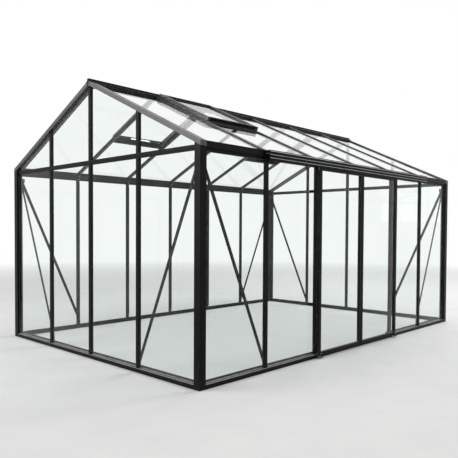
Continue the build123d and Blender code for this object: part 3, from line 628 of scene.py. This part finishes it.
def dress_nodes():
    """Each CAD node takes the material of its slot in the record, or its own kind of coat."""
    for part in frame["record"]["subparts"]:
        node = frame["nodes"][part["node"]]
        look = NODE_LOOKS.get(part["node"], SLOT_LOOKS[part["material_slot"]])
        if not node.material_slots:
            node.data.materials.append(look)
        for place in node.material_slots:
            place.material = look


# Outlines

def rectangle(a0, a1, b0, b1):
    return [(a0, b0), (a1, b0), (a1, b1), (a0, b1)]


def plate_outline(a0, a1, b0, b1, corner=3.0):
    """A rectangle with cut corners."""
    return [
        (a0 + corner, b0),
        (a1 - corner, b0),
        (a1, b0 + corner),
        (a1, b1 - corner),
        (a1 - corner, b1),
        (a0 + corner, b1),
        (a0, b1 - corner),
        (a0, b0 + corner),
    ]


def circle(a, b, radius, steps=12):
    angles = [2 * math.pi * i / steps for i in range(steps)]
    return [(a + radius * math.cos(t), b + radius * math.sin(t)) for t in angles]


def rounded_bar(a0, a1, b0, b1, steps=6):
    """A bar along a with half-round ends."""
    radius = (b1 - b0) / 2
    middle = (b0 + b1) / 2
    points = []
    for centre, turn in ((a1 - radius, -0.5), (a0 + radius, 0.5)):
        for i in range(steps + 1):
            angle = math.pi * (turn + i / steps)
            points.append((centre + radius * math.cos(angle), middle + radius * math.sin(angle)))
    return points


# Seals round the glass

BEAD = 2.8
BEAD_SHOULDER = BEAD * 0.85


def bead(a, b, da, db):
    """Rounded rubber bead in the corner at (a, b), da along one face and db along the other."""
    return [
        (a, b),
        (a + da * BEAD, b),
        (a + da * BEAD_SHOULDER, b + db * BEAD / 2),
        (a + da * BEAD / 2, b + db * BEAD_SHOULDER),
        (a, b + db * BEAD),
    ]


def clear_spans(bays, half, skip=()):
    """Clear lengths between bars that reach half to each side of their marks."""
    spans = []
    for k in range(bays):
        if k in skip:
            continue
        start = POST if k == 0 else side_mark(k) + half
        end = side_mark(k + 1) - half
        if k == bays - 1:
            end = side_mark(bays) + POST_CENTRE - POST
        spans.append((start, end))
    return spans


def seal_pane(seals, place, face, out, u0, u1, z0, z1):
    """Beads along the four edges of an upright pane, on the face that looks out."""
    seals.prism(place, stand, bead(u0, face, 1, out), z0, z1)
    seals.prism(place, stand, bead(u1, face, -1, out), z0, z1)
    seals.prism(place, run, bead(face, z0, out, 1), u0, u1)
    seals.prism(place, run, bead(face, z1, out, -1), u0, u1)


# Outside, the beads run between the bars' caps, and inside between their rear flanges
WALL_SEAL_SIDES = ((CAP_HALF, GLASS_OUTER, -1), (REAR_HALF, GLASS_INNER, 1))


def seal_wall(name):
    """Beads round each pane of a wall up to the eaves, outside and inside."""
    place, bays = WALLS[name]
    head = TIE_BOTTOM if name in GABLES else BEAM_BOTTOM
    doorway = DOOR_BAYS if name == "door_side" else ()
    seals = Shape()
    for half, face, out in WALL_SEAL_SIDES:
        for start, end in clear_spans(bays, half, doorway):
            seal_pane(seals, place, face, out, start, end, LEDGE_HEIGHT, head)
    seals.finish("glazing_seals_" + name, "frame", RUBBER, smooth=SMOOTH_RUBBER)


SEAL_UNDER_RIDGE = RIDGE_HEIGHT - RIDGE_DROP - 6.0
RAFTER_SEAL_START = 30.0 / COS


def under_rafter(u):
    """Height of the rafters' underside at u along a gable."""
    return EAVES_HEIGHT + min(u, WIDTH - u) * TAN - RAFTER_DEPTH / COS


def seal_gable_top(name):
    """Beads round the panes between the tie rail and the rafters."""
    place, bays = WALLS[name]
    seals = Shape()
    for half, face, out in WALL_SEAL_SIDES:
        for start, end in clear_spans(bays, half):
            seals.prism(place, run, bead(face, TIE_TOP, out, 1), start, end)
            for u, way in ((start, 1), (end, -1)):
                top = min(under_rafter(u), SEAL_UNDER_RIDGE)
                if top > TIE_TOP + BEAD:
                    seals.prism(place, stand, bead(u, face, way, out), TIE_TOP, top)
    for slope in SLOPES.values():
        for _, face, out in WALL_SEAL_SIDES:
            outline = bead(face, -RAFTER_DEPTH, out, -1)
            seals.prism(GABLES[name] @ slope, down, outline, RAFTER_SEAL_START, EAVES_INNER)
    seals.finish("glazing_seals_top_" + name, "frame", RUBBER, smooth=SMOOTH_RUBBER)


# The beads' feet, and how far the inner ones keep clear of the rafters' flanges
ROOF_SEAL_SIDES = (
    (CAP_HALF, ROOF_GLASS_TOP, 1, ROOF_FOOT, 0.0),
    (REAR_HALF, ROOF_GLASS_UNDER, -1, EAVES_INNER, RAFTER_FLANGE),
)
RIDGE_SEAL = 46.0
RIDGE_STRIP = [
    (RIDGE_SEAL - 9, ROOF_GLASS_TOP),
    (RIDGE_SEAL, ROOF_GLASS_TOP),
    (RIDGE_SEAL - 1, ROOF_GLASS_TOP / 2),
    (RIDGE_SEAL + 1, 0),
    (RIDGE_SEAL - 9, 0),
]
PAD_WIDTH = 8.0
PAD_THICKNESS = 0.8


def seal_roof_panes(seals, side):
    """Beads along the roof bars inside and outside, and across the panes' heads outside."""
    slope = SLOPES[side]
    for half, face, out, foot, clearance in ROOF_SEAL_SIDES:
        for k, (start, end) in enumerate(clear_spans(SIDE_BAYS, half)):
            if k == 0:
                start += clearance
            if k == SIDE_BAYS - 1:
                end -= clearance
            head = CROSSBAR_LIP if k in VENT_BAYS[side] else RIDGE_SEAL
            seals.prism(slope, down, bead(start, face, 1, out), head, foot)
            seals.prism(slope, down, bead(end, face, -1, out), head, foot)
            if out > 0:
                seals.prism(slope, across, bead(head, face, 1, 1), start, end)


def seal_roof(side):
    """A slope's beads, a strip that closes the gap under the ridge cap, and pads at the eaves."""
    slope = SLOPES[side]
    seals = Shape()
    seal_roof_panes(seals, side)
    for k, (start, end) in enumerate(clear_spans(SIDE_BAYS, CAP_HALF)):
        if k not in VENT_BAYS[side]:
            seals.prism(slope, across, RIDGE_STRIP, start, end)
    pad_top = ROOF_GLASS_UNDER + PAD_THICKNESS
    pad = rectangle(BEAM_SEAT - PAD_WIDTH, BEAM_SEAT, ROOF_GLASS_UNDER, pad_top)
    for start, end in clear_spans(SIDE_BAYS, REAR_HALF):
        seals.prism(slope, across, pad, start, end)
    seals.finish("roof_seals_" + side + "_side", "frame", RUBBER, smooth=SMOOTH_RUBBER)


def vent_sides(k):
    """Outer faces of a vent's frame, which laps onto the bar caps on both sides."""
    inset = CAP_HALF - VENT_LAP
    return side_mark(k) + inset, side_mark(k + 1) - inset


def all_vents():
    return [(side, k) for side in SIDES for k in VENT_BAYS[side]]


FOOT_LIP = [(0, -4), (2, -4), (1.6, 4), (0, 5)]


def seal_vents():
    """Beads round each vent's pane and a soft lip under its foot rail."""
    seals = Shape()
    head, foot = VENT_START + VENT_FRAME, VENT_END - VENT_FRAME
    lip = [(VENT_END + s, r) for s, r in FOOT_LIP]
    for side, k in all_vents():
        slope = SLOPES[side]
        x0, x1 = vent_sides(k)
        x0 += VENT_FRAME
        x1 -= VENT_FRAME
        for face, out in ((VENT_GLASS_TOP, 1), (VENT_GLASS_UNDER, -1)):
            seals.prism(slope, down, bead(x0, face, 1, out), head, foot)
            seals.prism(slope, down, bead(x1, face, -1, out), head, foot)
            seals.prism(slope, across, bead(head, face, 1, out), x0, x1)
            seals.prism(slope, across, bead(foot, face, -1, out), x0, x1)
        seals.prism(slope, across, lip, x0, x1)
    seals.finish("roof_vent_seals", "frame", RUBBER, smooth=SMOOTH_RUBBER)


# Bolts, plates and screws; a turned profile is (radius, height) pairs above the face it sits on

WASHER = [(6.4, -0.3), (6.4, 0.9), (6.0, 1.3)]
NUT = [(4.9, 1.2), (5.6, 1.7), (5.6, 5.2), (4.9, 5.7)]
STUD = [(2.9, 5.6), (2.9, 8.0), (2.3, 8.7)]
SCREW = [(4.6, -0.3), (4.6, 0.5), (3.9, 1.6), (2.6, 2.2), (1.7, 2.3), (1.5, 1.0), (0, 0.9)]
AXLE_NUT = [(6.0, -0.3), (6.0, 1.4), (4.8, 2.4)]
ROLLER_CAP = [(4.4, -0.3), (4.4, 1.6), (3.6, 2.6), (0, 2.7)]
WASHER_SIDES = 20
SCREW_SIDES = 16
STUD_SIDES = 12
NUT_SIDES = 6
NUT_TURN = 0.7


def facing(place, point, direction):
    """A frame at a point of a wall or slope whose z axis looks along direction there."""
    turn = Vector(direction).to_track_quat("Z", "Y").to_matrix().to_4x4()
    return place @ Matrix.Translation(point) @ turn


def add_nut(shape, place, point, direction, spin):
    """A hexagon nut on a washer, with the end of its bolt."""
    at = facing(place, point, direction)
    shape.turned(at, WASHER, WASHER_SIDES)
    shape.turned(at, NUT, NUT_SIDES, spin)
    shape.turned(at, STUD, STUD_SIDES)


def add_screw(shape, place, point, direction, size=1.0):
    """A pan-head screw with a socket in it."""
    at = facing(place, point, direction)
    shape.turned(at, [(r * size, z * size) for r, z in SCREW], SCREW_SIDES)


PLATE = 2.5
PLATE_BACK = BAR_REAR + PLATE
PLATE_HALF = 9.0
FOOT_PLATE = (LEDGE_HEIGHT + 1.0, LEDGE_HEIGHT + 62.0)
FOOT_BOLTS = [LEDGE_HEIGHT + 28.0, LEDGE_HEIGHT + 50.0]
HEAD_PLATE = (BEAM_BOTTOM - 34.0, BEAM_UNDERSIDE - 2.0)
HEAD_BOLTS = [BEAM_BOTTOM - 20.0, BEAM_BOTTOM + 12.0]


def strap_outline(middle, low, high):
    """A narrow plate that lies along a bar."""
    return plate_outline(middle - PLATE_HALF, middle + PLATE_HALF, low, high)


def wall_marks(name):
    """Where a wall's mullions stand; the doorway has none in its middle."""
    bays = WALLS[name][1]
    skip = DOOR_BAYS[1:] if name == "door_side" else ()
    return [side_mark(k) for k in range(1, bays) if k not in skip]


def wall_joints(plates, nuts):
    """Plates and nuts on the inner side of the mullions; a wind brace covers the outermost feet."""
    for name, (place, bays) in WALLS.items():
        for number, u in enumerate(wall_marks(name)):
            bolts = []
            if u not in (side_mark(1), side_mark(bays - 1)):
                plates.prism(place, through, strap_outline(u, *FOOT_PLATE), BAR_REAR, PLATE_BACK)
                bolts += FOOT_BOLTS
            if name not in GABLES:
                plates.prism(place, through, strap_outline(u, *HEAD_PLATE), BAR_REAR, PLATE_BACK)
                bolts += HEAD_BOLTS
            for z in bolts:
                add_nut(nuts, place, (u, PLATE_BACK, z), (0, 1, 0), number * NUT_TURN + z)


# The angle at a brace's head, and the bolts at both its ends
ANGLE_MIDDLE = BRACE_TOP - 30.0
ANGLE_HALF = 22.0
ANGLE_REACH = 34.0
ANGLE_FRONT = 30.0
HEAD_BOLT_IN = 12.0
HEAD_BOLT_HEIGHT = ANGLE_MIDDLE + 4.0
FOOT_BOLT_HEIGHT = BRACE_FOOT + 26.0
HEAD_NUT_TURN = 0.3
FOOT_NUT_TURN = 0.9


def brace_angle(plates, place, edge, way):
    """An angle with one leg on the brace and one on the side of the post, whose edge is given."""
    low, high = ANGLE_MIDDLE - ANGLE_HALF, ANGLE_MIDDLE + ANGLE_HALF
    near, far = sorted((edge, edge + way * ANGLE_REACH))
    outline = plate_outline(near, far, low, high)
    plates.prism(place, through, outline, BRACE_BACK, BRACE_BACK + PLATE)
    near, far = sorted((edge, edge + way * PLATE))
    plates.prism(place, stand, rectangle(near, far, ANGLE_FRONT, BRACE_BACK), low, high)


def brace_joints(plates, nuts):
    """Angles that hold the wind braces to the posts, and nuts at both ends."""
    for place, bays in WALLS.values():
        total = bays * BAY + 2 * POST_CENTRE
        for corner, way in ((0.0, 1), (total, -1)):
            edge = corner + way * POST
            brace_angle(plates, place, edge, way)
            head = (edge + way * HEAD_BOLT_IN, BRACE_BACK + PLATE, HEAD_BOLT_HEIGHT)
            foot = (corner + way * side_mark(1), BRACE_BACK, FOOT_BOLT_HEIGHT)
            add_nut(nuts, place, head, (0, 1, 0), HEAD_NUT_TURN)
            add_nut(nuts, place, foot, (0, 1, 0), FOOT_NUT_TURN)


TIE_BOLT_INSET = 22.0


def tie_joints(nuts):
    """Nuts where the gables' tie rails meet the posts and mullions."""
    for name in GABLES:
        place = WALLS[name][0]
        for start, end in clear_spans(GABLE_BAYS, REAR_HALF):
            for u in (start + TIE_BOLT_INSET, end - TIE_BOLT_INSET):
                add_nut(nuts, place, (u, TIE_BACK, TIE_BOTTOM + TIE_HEIGHT / 2), (0, 1, 0), u)


# Plates under a roof bar's ends, and the legs that carry them on the eaves beam
EAVES_PLATE_END = (HALF_WIDTH - POST - 3.0) / COS - 17.0
BAR_PLATES = ((EAVES_PLATE_END - 62.0, EAVES_PLATE_END), (34.0, 88.0))
BAR_BOLT_INSETS = (14.0, 16.0)
LEG = (BEAM_UNDERSIDE + 3.0, EAVES_HEIGHT - 14.0)
LEG_BOLT = BEAM_UNDERSIDE + 17.0


def roof_joints(plates, nuts):
    """Angles under each roof bar at the eaves beam, and plates at the ridge beam."""
    under = ROOF_BAR_REAR - PLATE
    for side, slope in SLOPES.items():
        for k in range(1, SIDE_BAYS):
            x = side_mark(k)
            for head, foot in BAR_PLATES:
                plates.prism(slope, on_slope, strap_outline(x, head, foot), under, ROOF_BAR_REAR)
                for s in (head + BAR_BOLT_INSETS[0], foot - BAR_BOLT_INSETS[1]):
                    add_nut(nuts, slope, on_slope(x, s, under), (0, 0, -1), k + s)
            plates.prism(SIDES[side], through, strap_outline(x, *LEG), POST, POST + PLATE)
            add_nut(nuts, SIDES[side], (x, POST + PLATE, LEG_BOLT), (0, 1, 0), k)


SILL_SCREW_LINE = 41.5
SILL_SCREW_SHARES = (0.25, 0.75)


def sill_screws():
    """Screws that hold the bottom rail down to the sill, in its drip channel."""
    screws = Shape()
    for name, (place, bays) in WALLS.items():
        for k in range(bays):
            if name == "door_side" and k in DOOR_BAYS:
                continue
            for share in SILL_SCREW_SHARES:
                u = side_mark(k) + share * BAY
                add_screw(screws, place, (u, SILL_SCREW_LINE, LEDGE_HEIGHT), (0, 0, 1))
    screws.finish("sill_screws", "frame", ZINC, smooth=SMOOTH_TURNED)


CLIP_HALF = 16.0
CLIP_INSET = 110.0
CLIP_HOOK = [
    (ROOF_FOOT - 14.0, ROOF_GLASS_TOP),
    (ROOF_FOOT - 14.0, ROOF_GLASS_TOP + 1.6),
    (ROOF_FOOT + 2.0, ROOF_GLASS_TOP + 1.6),
    (ROOF_FOOT + 2.0, ROOF_GLASS_UNDER - 1.0),
    (ROOF_FOOT, ROOF_GLASS_UNDER - 1.0),
    (ROOF_FOOT, ROOF_GLASS_TOP),
]


def pane_clips():
    """Two folded clips under the foot of each roof pane, which stop it sliding."""
    clips = Shape()
    for slope in SLOPES.values():
        for start, end in clear_spans(SIDE_BAYS, CAP_HALF):
            for x in (start + CLIP_INSET, end - CLIP_INSET):
                clips.prism(slope, across, CLIP_HOOK, x - CLIP_HALF, x + CLIP_HALF)
    clips.finish("roof_pane_clips", "frame", COAT, slot="frame_coat", edge=0.3)


PLUG_HALF = 15.5
PLUG_FOOT = RIDGE_HEIGHT - 55.5
PLUG_HEAD = RIDGE_HEIGHT - 9.0
PLUG_FACE = 3.0
PLUG_CORNER = 1.5
PLUG_THICKNESS = 9.0
PLUG_SCREW_HEIGHT = RIDGE_HEIGHT - 32.0


def ridge_plugs():
    """Plugs that close the ridge beam's hollow ends, set just inside them."""
    plugs = Shape()
    y0, y1 = HALF_WIDTH - PLUG_HALF, HALF_WIDTH + PLUG_HALF
    outline = plate_outline(y0, y1, PLUG_FOOT, PLUG_HEAD, PLUG_CORNER)
    for place in GABLES.values():
        plugs.prism(place, run, outline, PLUG_FACE, PLUG_FACE + PLUG_THICKNESS)
        add_screw(plugs, place, (PLUG_FACE, HALF_WIDTH, PLUG_SCREW_HEIGHT), (-1, 0, 0), size=0.7)
    plugs.finish("ridge_end_plugs", "frame", NYLON, slot="nylon", edge=0.4)


# Roof vent gear

STAY_HOLES = 6
FIRST_HOLE = 44.0
HOLE_PITCH = 38.0
HOLE_RADIUS = 3.4
STAY_PIVOT = 10.0
STAY_CLIPS = (25.0, 63.0)
STAY_CLIP_HALF = 5.0
STAY_CLIP = [(-6.5, -2), (0, -2), (0, 0), (-4.6, 0), (-4.6, 7), (-6.5, 7)]


def vent_stays():
    """Pierced stays folded along the vents' foot rails, in place of the plain bars."""
    stays, gear = Shape(), Shape()
    back = VENT_END - VENT_FRAME
    low = VENT_FLOOR + 1.0
    high = low + STAY_WIDTH
    middle = (low + high) / 2
    clip = [(back + s, low + r) for s, r in STAY_CLIP]
    for side, k in all_vents():
        slope = SLOPES[side]
        centre = (side_mark(k) + side_mark(k + 1)) / 2
        x0, x1 = centre - STAY_LENGTH / 2, centre + STAY_LENGTH / 2
        centres = [x0 + FIRST_HOLE + i * HOLE_PITCH for i in range(STAY_HOLES)]
        holes = [circle(x, middle, HOLE_RADIUS) for x in centres]
        stays.prism(slope, down, rounded_bar(x0, x1, low, high), back - STAY_THICKNESS, back, holes)
        pivot = on_slope(x1 - STAY_PIVOT, back - STAY_THICKNESS, middle)
        add_screw(gear, slope, pivot, (0, 1, 0), size=1.3)
        for inset in STAY_CLIPS:
            x = x0 + inset
            gear.prism(slope, across, clip, x - STAY_CLIP_HALF, x + STAY_CLIP_HALF)
    made = stays.finish("vent_stays", "frame", ALUMINIUM, slot="stay_metal", edge=0.5)
    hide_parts("roof_vent_stays")
    gear.finish("vent_stay_clips", "frame", ZINC, smooth=SMOOTH_TURNED)


HINGE_INSET = 20.0
KNUCKLES = 11
KNUCKLE_RADIUS = 5.0
KNUCKLE_SIDES = 14
KNUCKLE_PLAY = 0.8
KNUCKLE_LINE = VENT_START - KNUCKLE_RADIUS - 0.4
KNUCKLE_HEIGHT = 11.0
HINGE_LEAF_TOP = RIDGE_CAP_TOP + 2.0
HINGE_LEAF = [
    (24.0, RIDGE_CAP_TOP),
    (VENT_START - KNUCKLE_RADIUS, RIDGE_CAP_TOP),
    (VENT_START - KNUCKLE_RADIUS, HINGE_LEAF_TOP),
    (25.0, HINGE_LEAF_TOP),
]
HINGE_SCREWS = 4
HINGE_SCREW_LINE = 33.0


def vent_hinges():
    """A rolled hinge along the head of each vent, on the ridge cap, in short knuckles."""
    rolls, leaves, screws = Shape(), Shape(), Shape()
    knuckle = circle(KNUCKLE_LINE, KNUCKLE_HEIGHT, KNUCKLE_RADIUS, KNUCKLE_SIDES)
    for side, k in all_vents():
        slope = SLOPES[side]
        x0, x1 = vent_sides(k)
        start, end = x0 + HINGE_INSET, x1 - HINGE_INSET
        pitch = (end - start) / KNUCKLES
        for i in range(KNUCKLES):
            left, right = start + i * pitch, start + (i + 1) * pitch
            rolls.prism(slope, across, knuckle, left + KNUCKLE_PLAY, right - KNUCKLE_PLAY)
        leaves.prism(slope, across, HINGE_LEAF, start, end)
        for i in range(HINGE_SCREWS):
            x = start + (i + 0.5) * (end - start) / HINGE_SCREWS
            at = on_slope(x, HINGE_SCREW_LINE, HINGE_LEAF_TOP)
            add_screw(screws, slope, at, (0, 0, 1), size=0.8)
    rolls.finish("vent_hinge_knuckles", "frame", COAT, slot="frame_coat", smooth=SMOOTH_TURNED)
    leaves.finish("vent_hinge_leaves", "frame", COAT, slot="frame_coat", edge=0.4)
    screws.finish("vent_hinge_screws", "frame", ZINC, smooth=SMOOTH_TURNED)


# Sliding doors: the left leaf as drawn, and the right one as its mirror image

DOORS = {"left_door": AS_DRAWN, "right_door": ACROSS_MIDDLE}
BULB_END = 4.0
BULB = [(-0.5, -28), (1.4, -27.5), (2.3, -25), (2.3, -21), (1.4, -18.5), (-0.5, -18)]


def leaf_seals(door):
    """Beads round a leaf's pane, and a soft bulb along its meeting stile."""
    place = DOORS[door]
    seals = Shape()
    x0, x1 = LEAF_LEFT + OUTER_STILE, LEAF_RIGHT - MEETING_STILE
    z0, z1 = LEAF_BOTTOM + LEAF_RAIL, LEAF_TOP - LEAF_RAIL
    for out in (-1, 1):
        seal_pane(seals, place, LEAF_MIDDLE + out * GLASS / 2, out, x0, x1, z0, z1)
    bulb = [(LEAF_RIGHT + x, y) for x, y in BULB]
    seals.prism(place, stand, bulb, LEAF_BOTTOM + BULB_END, LEAF_TOP - BULB_END)
    seals.finish(door + "_seals", door, RUBBER, smooth=SMOOTH_RUBBER)


BRUSH_INSET = 14.0
BACKING = [(-4, -0.3), (4, -0.3), (3, 1.2), (-3, 1.2)]
BACKING_END = 6.0
PILE_HALF = 1.6
PILE_END = 8.0
PILE_PITCH = 4.0
PILE_ROOT = LEAF_BACK + 1.0
PILE_TIP = LEAF_BACK + 4.8
PILE_DIP = LEAF_BACK + 3.9
PILE_EASE = 0.6


def pile_outline():
    """Side view of a pile strip: one ridge above another, from the leaf's foot to its top."""
    foot = LEAF_BOTTOM + PILE_END
    ridges = int((LEAF_TOP - LEAF_BOTTOM - 2 * PILE_END) / PILE_PITCH)
    outline = [(PILE_ROOT, foot)]
    for i in range(ridges):
        z = foot + i * PILE_PITCH
        outline.append((PILE_TIP, z + PILE_EASE))
        outline.append((PILE_DIP, z + PILE_PITCH - PILE_EASE))
    outline.append((PILE_ROOT, foot + ridges * PILE_PITCH))
    return outline


def leaf_brushes(door):
    """Pile strips on the leaf's back that close the draught gap, with a ridged pile."""
    place = DOORS[door]
    backing, pile = Shape(), Shape()
    for x in (LEAF_LEFT + BRUSH_INSET, LEAF_RIGHT - BRUSH_INSET):
        strip = [(x + dx, LEAF_BACK + dy) for dx, dy in BACKING]
        backing.prism(place, stand, strip, LEAF_BOTTOM + BACKING_END, LEAF_TOP - BACKING_END)
        pile.prism(place, run, pile_outline(), x - PILE_HALF, x + PILE_HALF)
    backing.finish(door + "_brush_backing", door, ALUMINIUM, slot="stay_metal", edge=0.2)
    pile.finish(door + "_brush_pile", door, RUBBER)


LEAF_SCREW_HEIGHTS = (LEAF_BOTTOM + 10.0, LEAF_BOTTOM + 24.0, LEAF_TOP - 24.0, LEAF_TOP - 10.0)
HANGER_SCREW_LINE = -19.0
HANGER_SCREW_STEPS = (-12.0, 12.0)


def leaf_gear(door):
    """Screws at the leaf's corners and on its hangers' feet, and nuts on the roller axles."""
    place = DOORS[door]
    screws, nuts = Shape(), Shape()
    for z in LEAF_SCREW_HEIGHTS:
        add_screw(screws, place, (LEAF_LEFT, LEAF_MIDDLE, z), (-1, 0, 0), size=0.8)
    for x in HANGERS:
        for step in HANGER_SCREW_STEPS:
            on_foot = (x + step, HANGER_SCREW_LINE, LEAF_TOP + HANGER_THICKNESS)
            add_screw(nuts, place, on_foot, (0, 0, 1), size=1.1)
        nuts.turned(facing(place, (x, HANGER_FACE, AXLE_HEIGHT), (0, -1, 0)), AXLE_NUT, NUT_SIDES)
    screws.finish(door + "_screws", door, ZINC, smooth=SMOOTH_TURNED)
    nuts.finish(door + "_hanger_nuts", door, ZINC, slot="stay_metal", smooth=SMOOTH_TURNED)


COVER_SCREWS = 9
COVER_SCREW_INSET = 40.0
COVER_SCREW_LINE = -24.0
END_SCREW_LINES = (-32.0, -12.0)
END_SCREW_HEIGHT = EAVES_HEIGHT - 30.0
BUFFER = plate_outline(-21.0, -4.0, TRACK_RAIL_BOTTOM + 6.0, TRACK_RAIL_BOTTOM + 24.0)
BUFFER_BACK = STOP_FACE - 0.2
BUFFER_FACE = STOP_FACE + 2.6
GUIDE_X = side_mark(DOOR_FIRST_MARK) + CAP_HALF - GUIDE_WIDTH / 2
GUIDE_SCREW_LINES = (-14.0, -32.0)


def track_gear():
    """Screws on the track cover, its ends and the guides, buffers on the stops, roller caps."""
    screws, buffers, caps = Shape(), Shape(), Shape()
    reach = TRACK_END - TRACK_START - 2 * COVER_SCREW_INSET
    for i in range(COVER_SCREWS):
        x = TRACK_START + COVER_SCREW_INSET + i * reach / (COVER_SCREWS - 1)
        add_screw(screws, AS_DRAWN, (x, COVER_SCREW_LINE, EAVES_HEIGHT), (0, 0, 1))
    for place in DOORS.values():
        for y in END_SCREW_LINES:
            add_screw(screws, place, (TRACK_START, y, END_SCREW_HEIGHT), (-1, 0, 0), size=0.9)
        buffers.prism(place, run, BUFFER, BUFFER_BACK, BUFFER_FACE)
        on_roller = facing(place, (GUIDE_X, GUIDE_ROLLER_LINE, GUIDE_ROLLER_TOP), (0, 0, 1))
        caps.turned(on_roller, ROLLER_CAP, SCREW_SIDES)
        for y in GUIDE_SCREW_LINES:
            add_screw(screws, place, (GUIDE_X, y, GUIDE_PLATE_TOP), (0, 0, 1), size=0.9)
    screws.finish("track_screws", "frame", ZINC, smooth=SMOOTH_TURNED)
    buffers.finish("track_stop_buffers", "frame", RUBBER, edge=0.8)
    caps.finish("guide_roller_caps", "frame", ZINC, smooth=SMOOTH_TURNED)


def frame_joints():
    """All the plates and nuts that join the frame's bars."""
    plates, nuts = Shape(), Shape()
    wall_joints(plates, nuts)
    brace_joints(plates, nuts)
    tie_joints(nuts)
    roof_joints(plates, nuts)
    plates.finish("joint_plates", "frame", COAT, slot="frame_coat", edge=0.4)
    nuts.finish("frame_nuts", "frame", ZINC, smooth=SMOOTH_NUTS)


def make_details():
    for name in WALLS:
        seal_wall(name)
    for name in GABLES:
        seal_gable_top(name)
    for side in SIDES:
        seal_roof(side)
    seal_vents()
    frame_joints()
    sill_screws()
    pane_clips()
    ridge_plugs()
    vent_stays()
    vent_hinges()
    for door in DOORS:
        leaf_seals(door)
        leaf_brushes(door)
        leaf_gear(door)
    track_gear()


# Camera, in metres and degrees in the row's frame

CAMERA_AT = (-5.1028, -4.5183, 1.2211)
CAMERA_YAW = 43.796
CAMERA_PITCH = -1.581
CAMERA_ROLL = 0.293
CAMERA_SHIFT = 0.0349
CAMERA_NEAR = 0.1
CAMERA_FAR = 500.0
FOCAL_PIXELS = 550.8
PHOTO_WIDTH = 458
SENSOR = 36.0


def camera_turn():
    """How the camera is turned: its yaw is from +X towards +Y, its pitch up, its roll clockwise."""
    yaw, pitch, roll = (math.radians(a) for a in (CAMERA_YAW, CAMERA_PITCH, CAMERA_ROLL))
    reach = math.cos(pitch)
    ahead = Vector((math.cos(yaw) * reach, math.sin(yaw) * reach, math.sin(pitch)))
    level = Vector((math.sin(yaw), -math.cos(yaw), 0))
    upward = level.cross(ahead)
    right = level * math.cos(roll) + upward * math.sin(roll)
    top = upward * math.cos(roll) - level * math.sin(roll)
    return Matrix((right, top, -ahead)).transposed().to_4x4()


def make_camera():
    """The camera fitted to the photograph's bars and posts."""
    data = bpy.data.cameras.new("camera")
    data.sensor_width = SENSOR
    data.lens = FOCAL_PIXELS / PHOTO_WIDTH * SENSOR
    data.shift_y = CAMERA_SHIFT
    data.clip_start = CAMERA_NEAR
    data.clip_end = CAMERA_FAR
    camera = bpy.data.objects.new("camera", data)
    camera.matrix_world = Matrix.Translation(CAMERA_AT) @ camera_turn()
    bpy.context.scene.collection.objects.link(camera)
    bpy.context.scene.camera = camera


# Floor and light, in metres and watts

FLOOR_RADIUS = 120.0
FLOOR_SIDES = 96
FLOOR_DROP = 0.0005
FLOOR_TONES = ((0.80, 0.80, 0.80), (0.84, 0.84, 0.83))
FLOOR_PATCHES = ((3.0, 6.0), NOISE_SPAN)
FLOOR_FADE = (4.5, 15.0)


def seen_share(n):
    """1 for what is seen straight, in gloss or through glass, and 0 for what lights the object."""
    path = n.add("LightPath")
    seen = n.math("MAXIMUM", path.outputs["Is Camera Ray"], path.outputs["Is Glossy Ray"])
    return n.math("MAXIMUM", seen, path.outputs["Is Transmission Ray"])


def floor_material():
    n = material_nodes("pale_floor")
    plain = n.add("BsdfDiffuse")
    n.link(n.mix(n.patches(*FLOOR_PATCHES), *FLOOR_TONES), plain.inputs["Color"])
    glow = n.add("Emission")
    reach = n.add("VectorMath", operation="LENGTH")
    n.link(n.place, reach.inputs[0])
    far = n.spread(reach.outputs["Value"], *FLOOR_FADE)
    white = n.math("MULTIPLY", far, seen_share(n))
    return n.show(n.either(white, plain.outputs["BSDF"], glow.outputs["Emission"]))


def make_floor():
    """A pale floor that keeps the shadow near the object and turns white far from it."""
    mesh = bpy.data.meshes.new("floor")
    work = bmesh.new()
    bmesh.ops.create_circle(work, cap_ends=True, segments=FLOOR_SIDES, radius=FLOOR_RADIUS)
    work.to_mesh(mesh)
    work.free()
    floor = bpy.data.objects.new("floor", mesh)
    floor.location.z = -FLOOR_DROP
    bpy.context.scene.collection.objects.link(floor)
    mesh.materials.append(floor_material())


WHITE = (1, 1, 1, 1)
WORLD_LIGHT = 0.42


def make_world():
    """Plain soft light for the object, and a white background behind it and in its gloss."""
    world = bpy.data.worlds.new("studio")
    bpy.context.scene.world = world
    n = Nodes(world, "OutputWorld")
    light = n.add("Background")
    light.inputs["Color"].default_value = WHITE
    light.inputs["Strength"].default_value = WORLD_LIGHT
    white = n.add("Background")
    white.inputs["Color"].default_value = WHITE
    white.inputs["Strength"].default_value = 1.0
    n.show(n.either(seen_share(n), light.outputs["Background"], white.outputs["Background"]))


# Each lamp's place, what it is aimed at, the side of its square and its power
LAMPS = {
    "overhead": ((6.5, -1.5, 8.5), (0.4, -1.0, 1.2), 6.0, 620),
    "gable_side": ((-9.0, 2.8, 3.9), (-2.0, 0, 1.4), 5.0, 400),
    "rafter_gloss": ((-8.3, 6.4, 5.7), (-2.2, -0.8, 2.2), 2.0, 110),
    "door_side": ((1.0, -11.0, 6.0), (0.5, -1.5, 1.0), 5.0, 160),
}


def make_lamps():
    for name, (at, aim, size, watts) in LAMPS.items():
        data = bpy.data.lights.new(name, "AREA")
        data.shape = "SQUARE"
        data.size = size
        data.energy = watts
        lamp = bpy.data.objects.new(name, data)
        lamp.location = at
        lamp.rotation_mode = "QUATERNION"
        lamp.rotation_quaternion = (Vector(aim) - Vector(at)).to_track_quat("-Z", "Y")
        bpy.context.scene.collection.objects.link(lamp)


dress_nodes()
make_details()
make_camera()
make_floor()
make_world()
make_lamps()
bpy.context.scene.view_settings.view_transform = "Standard"
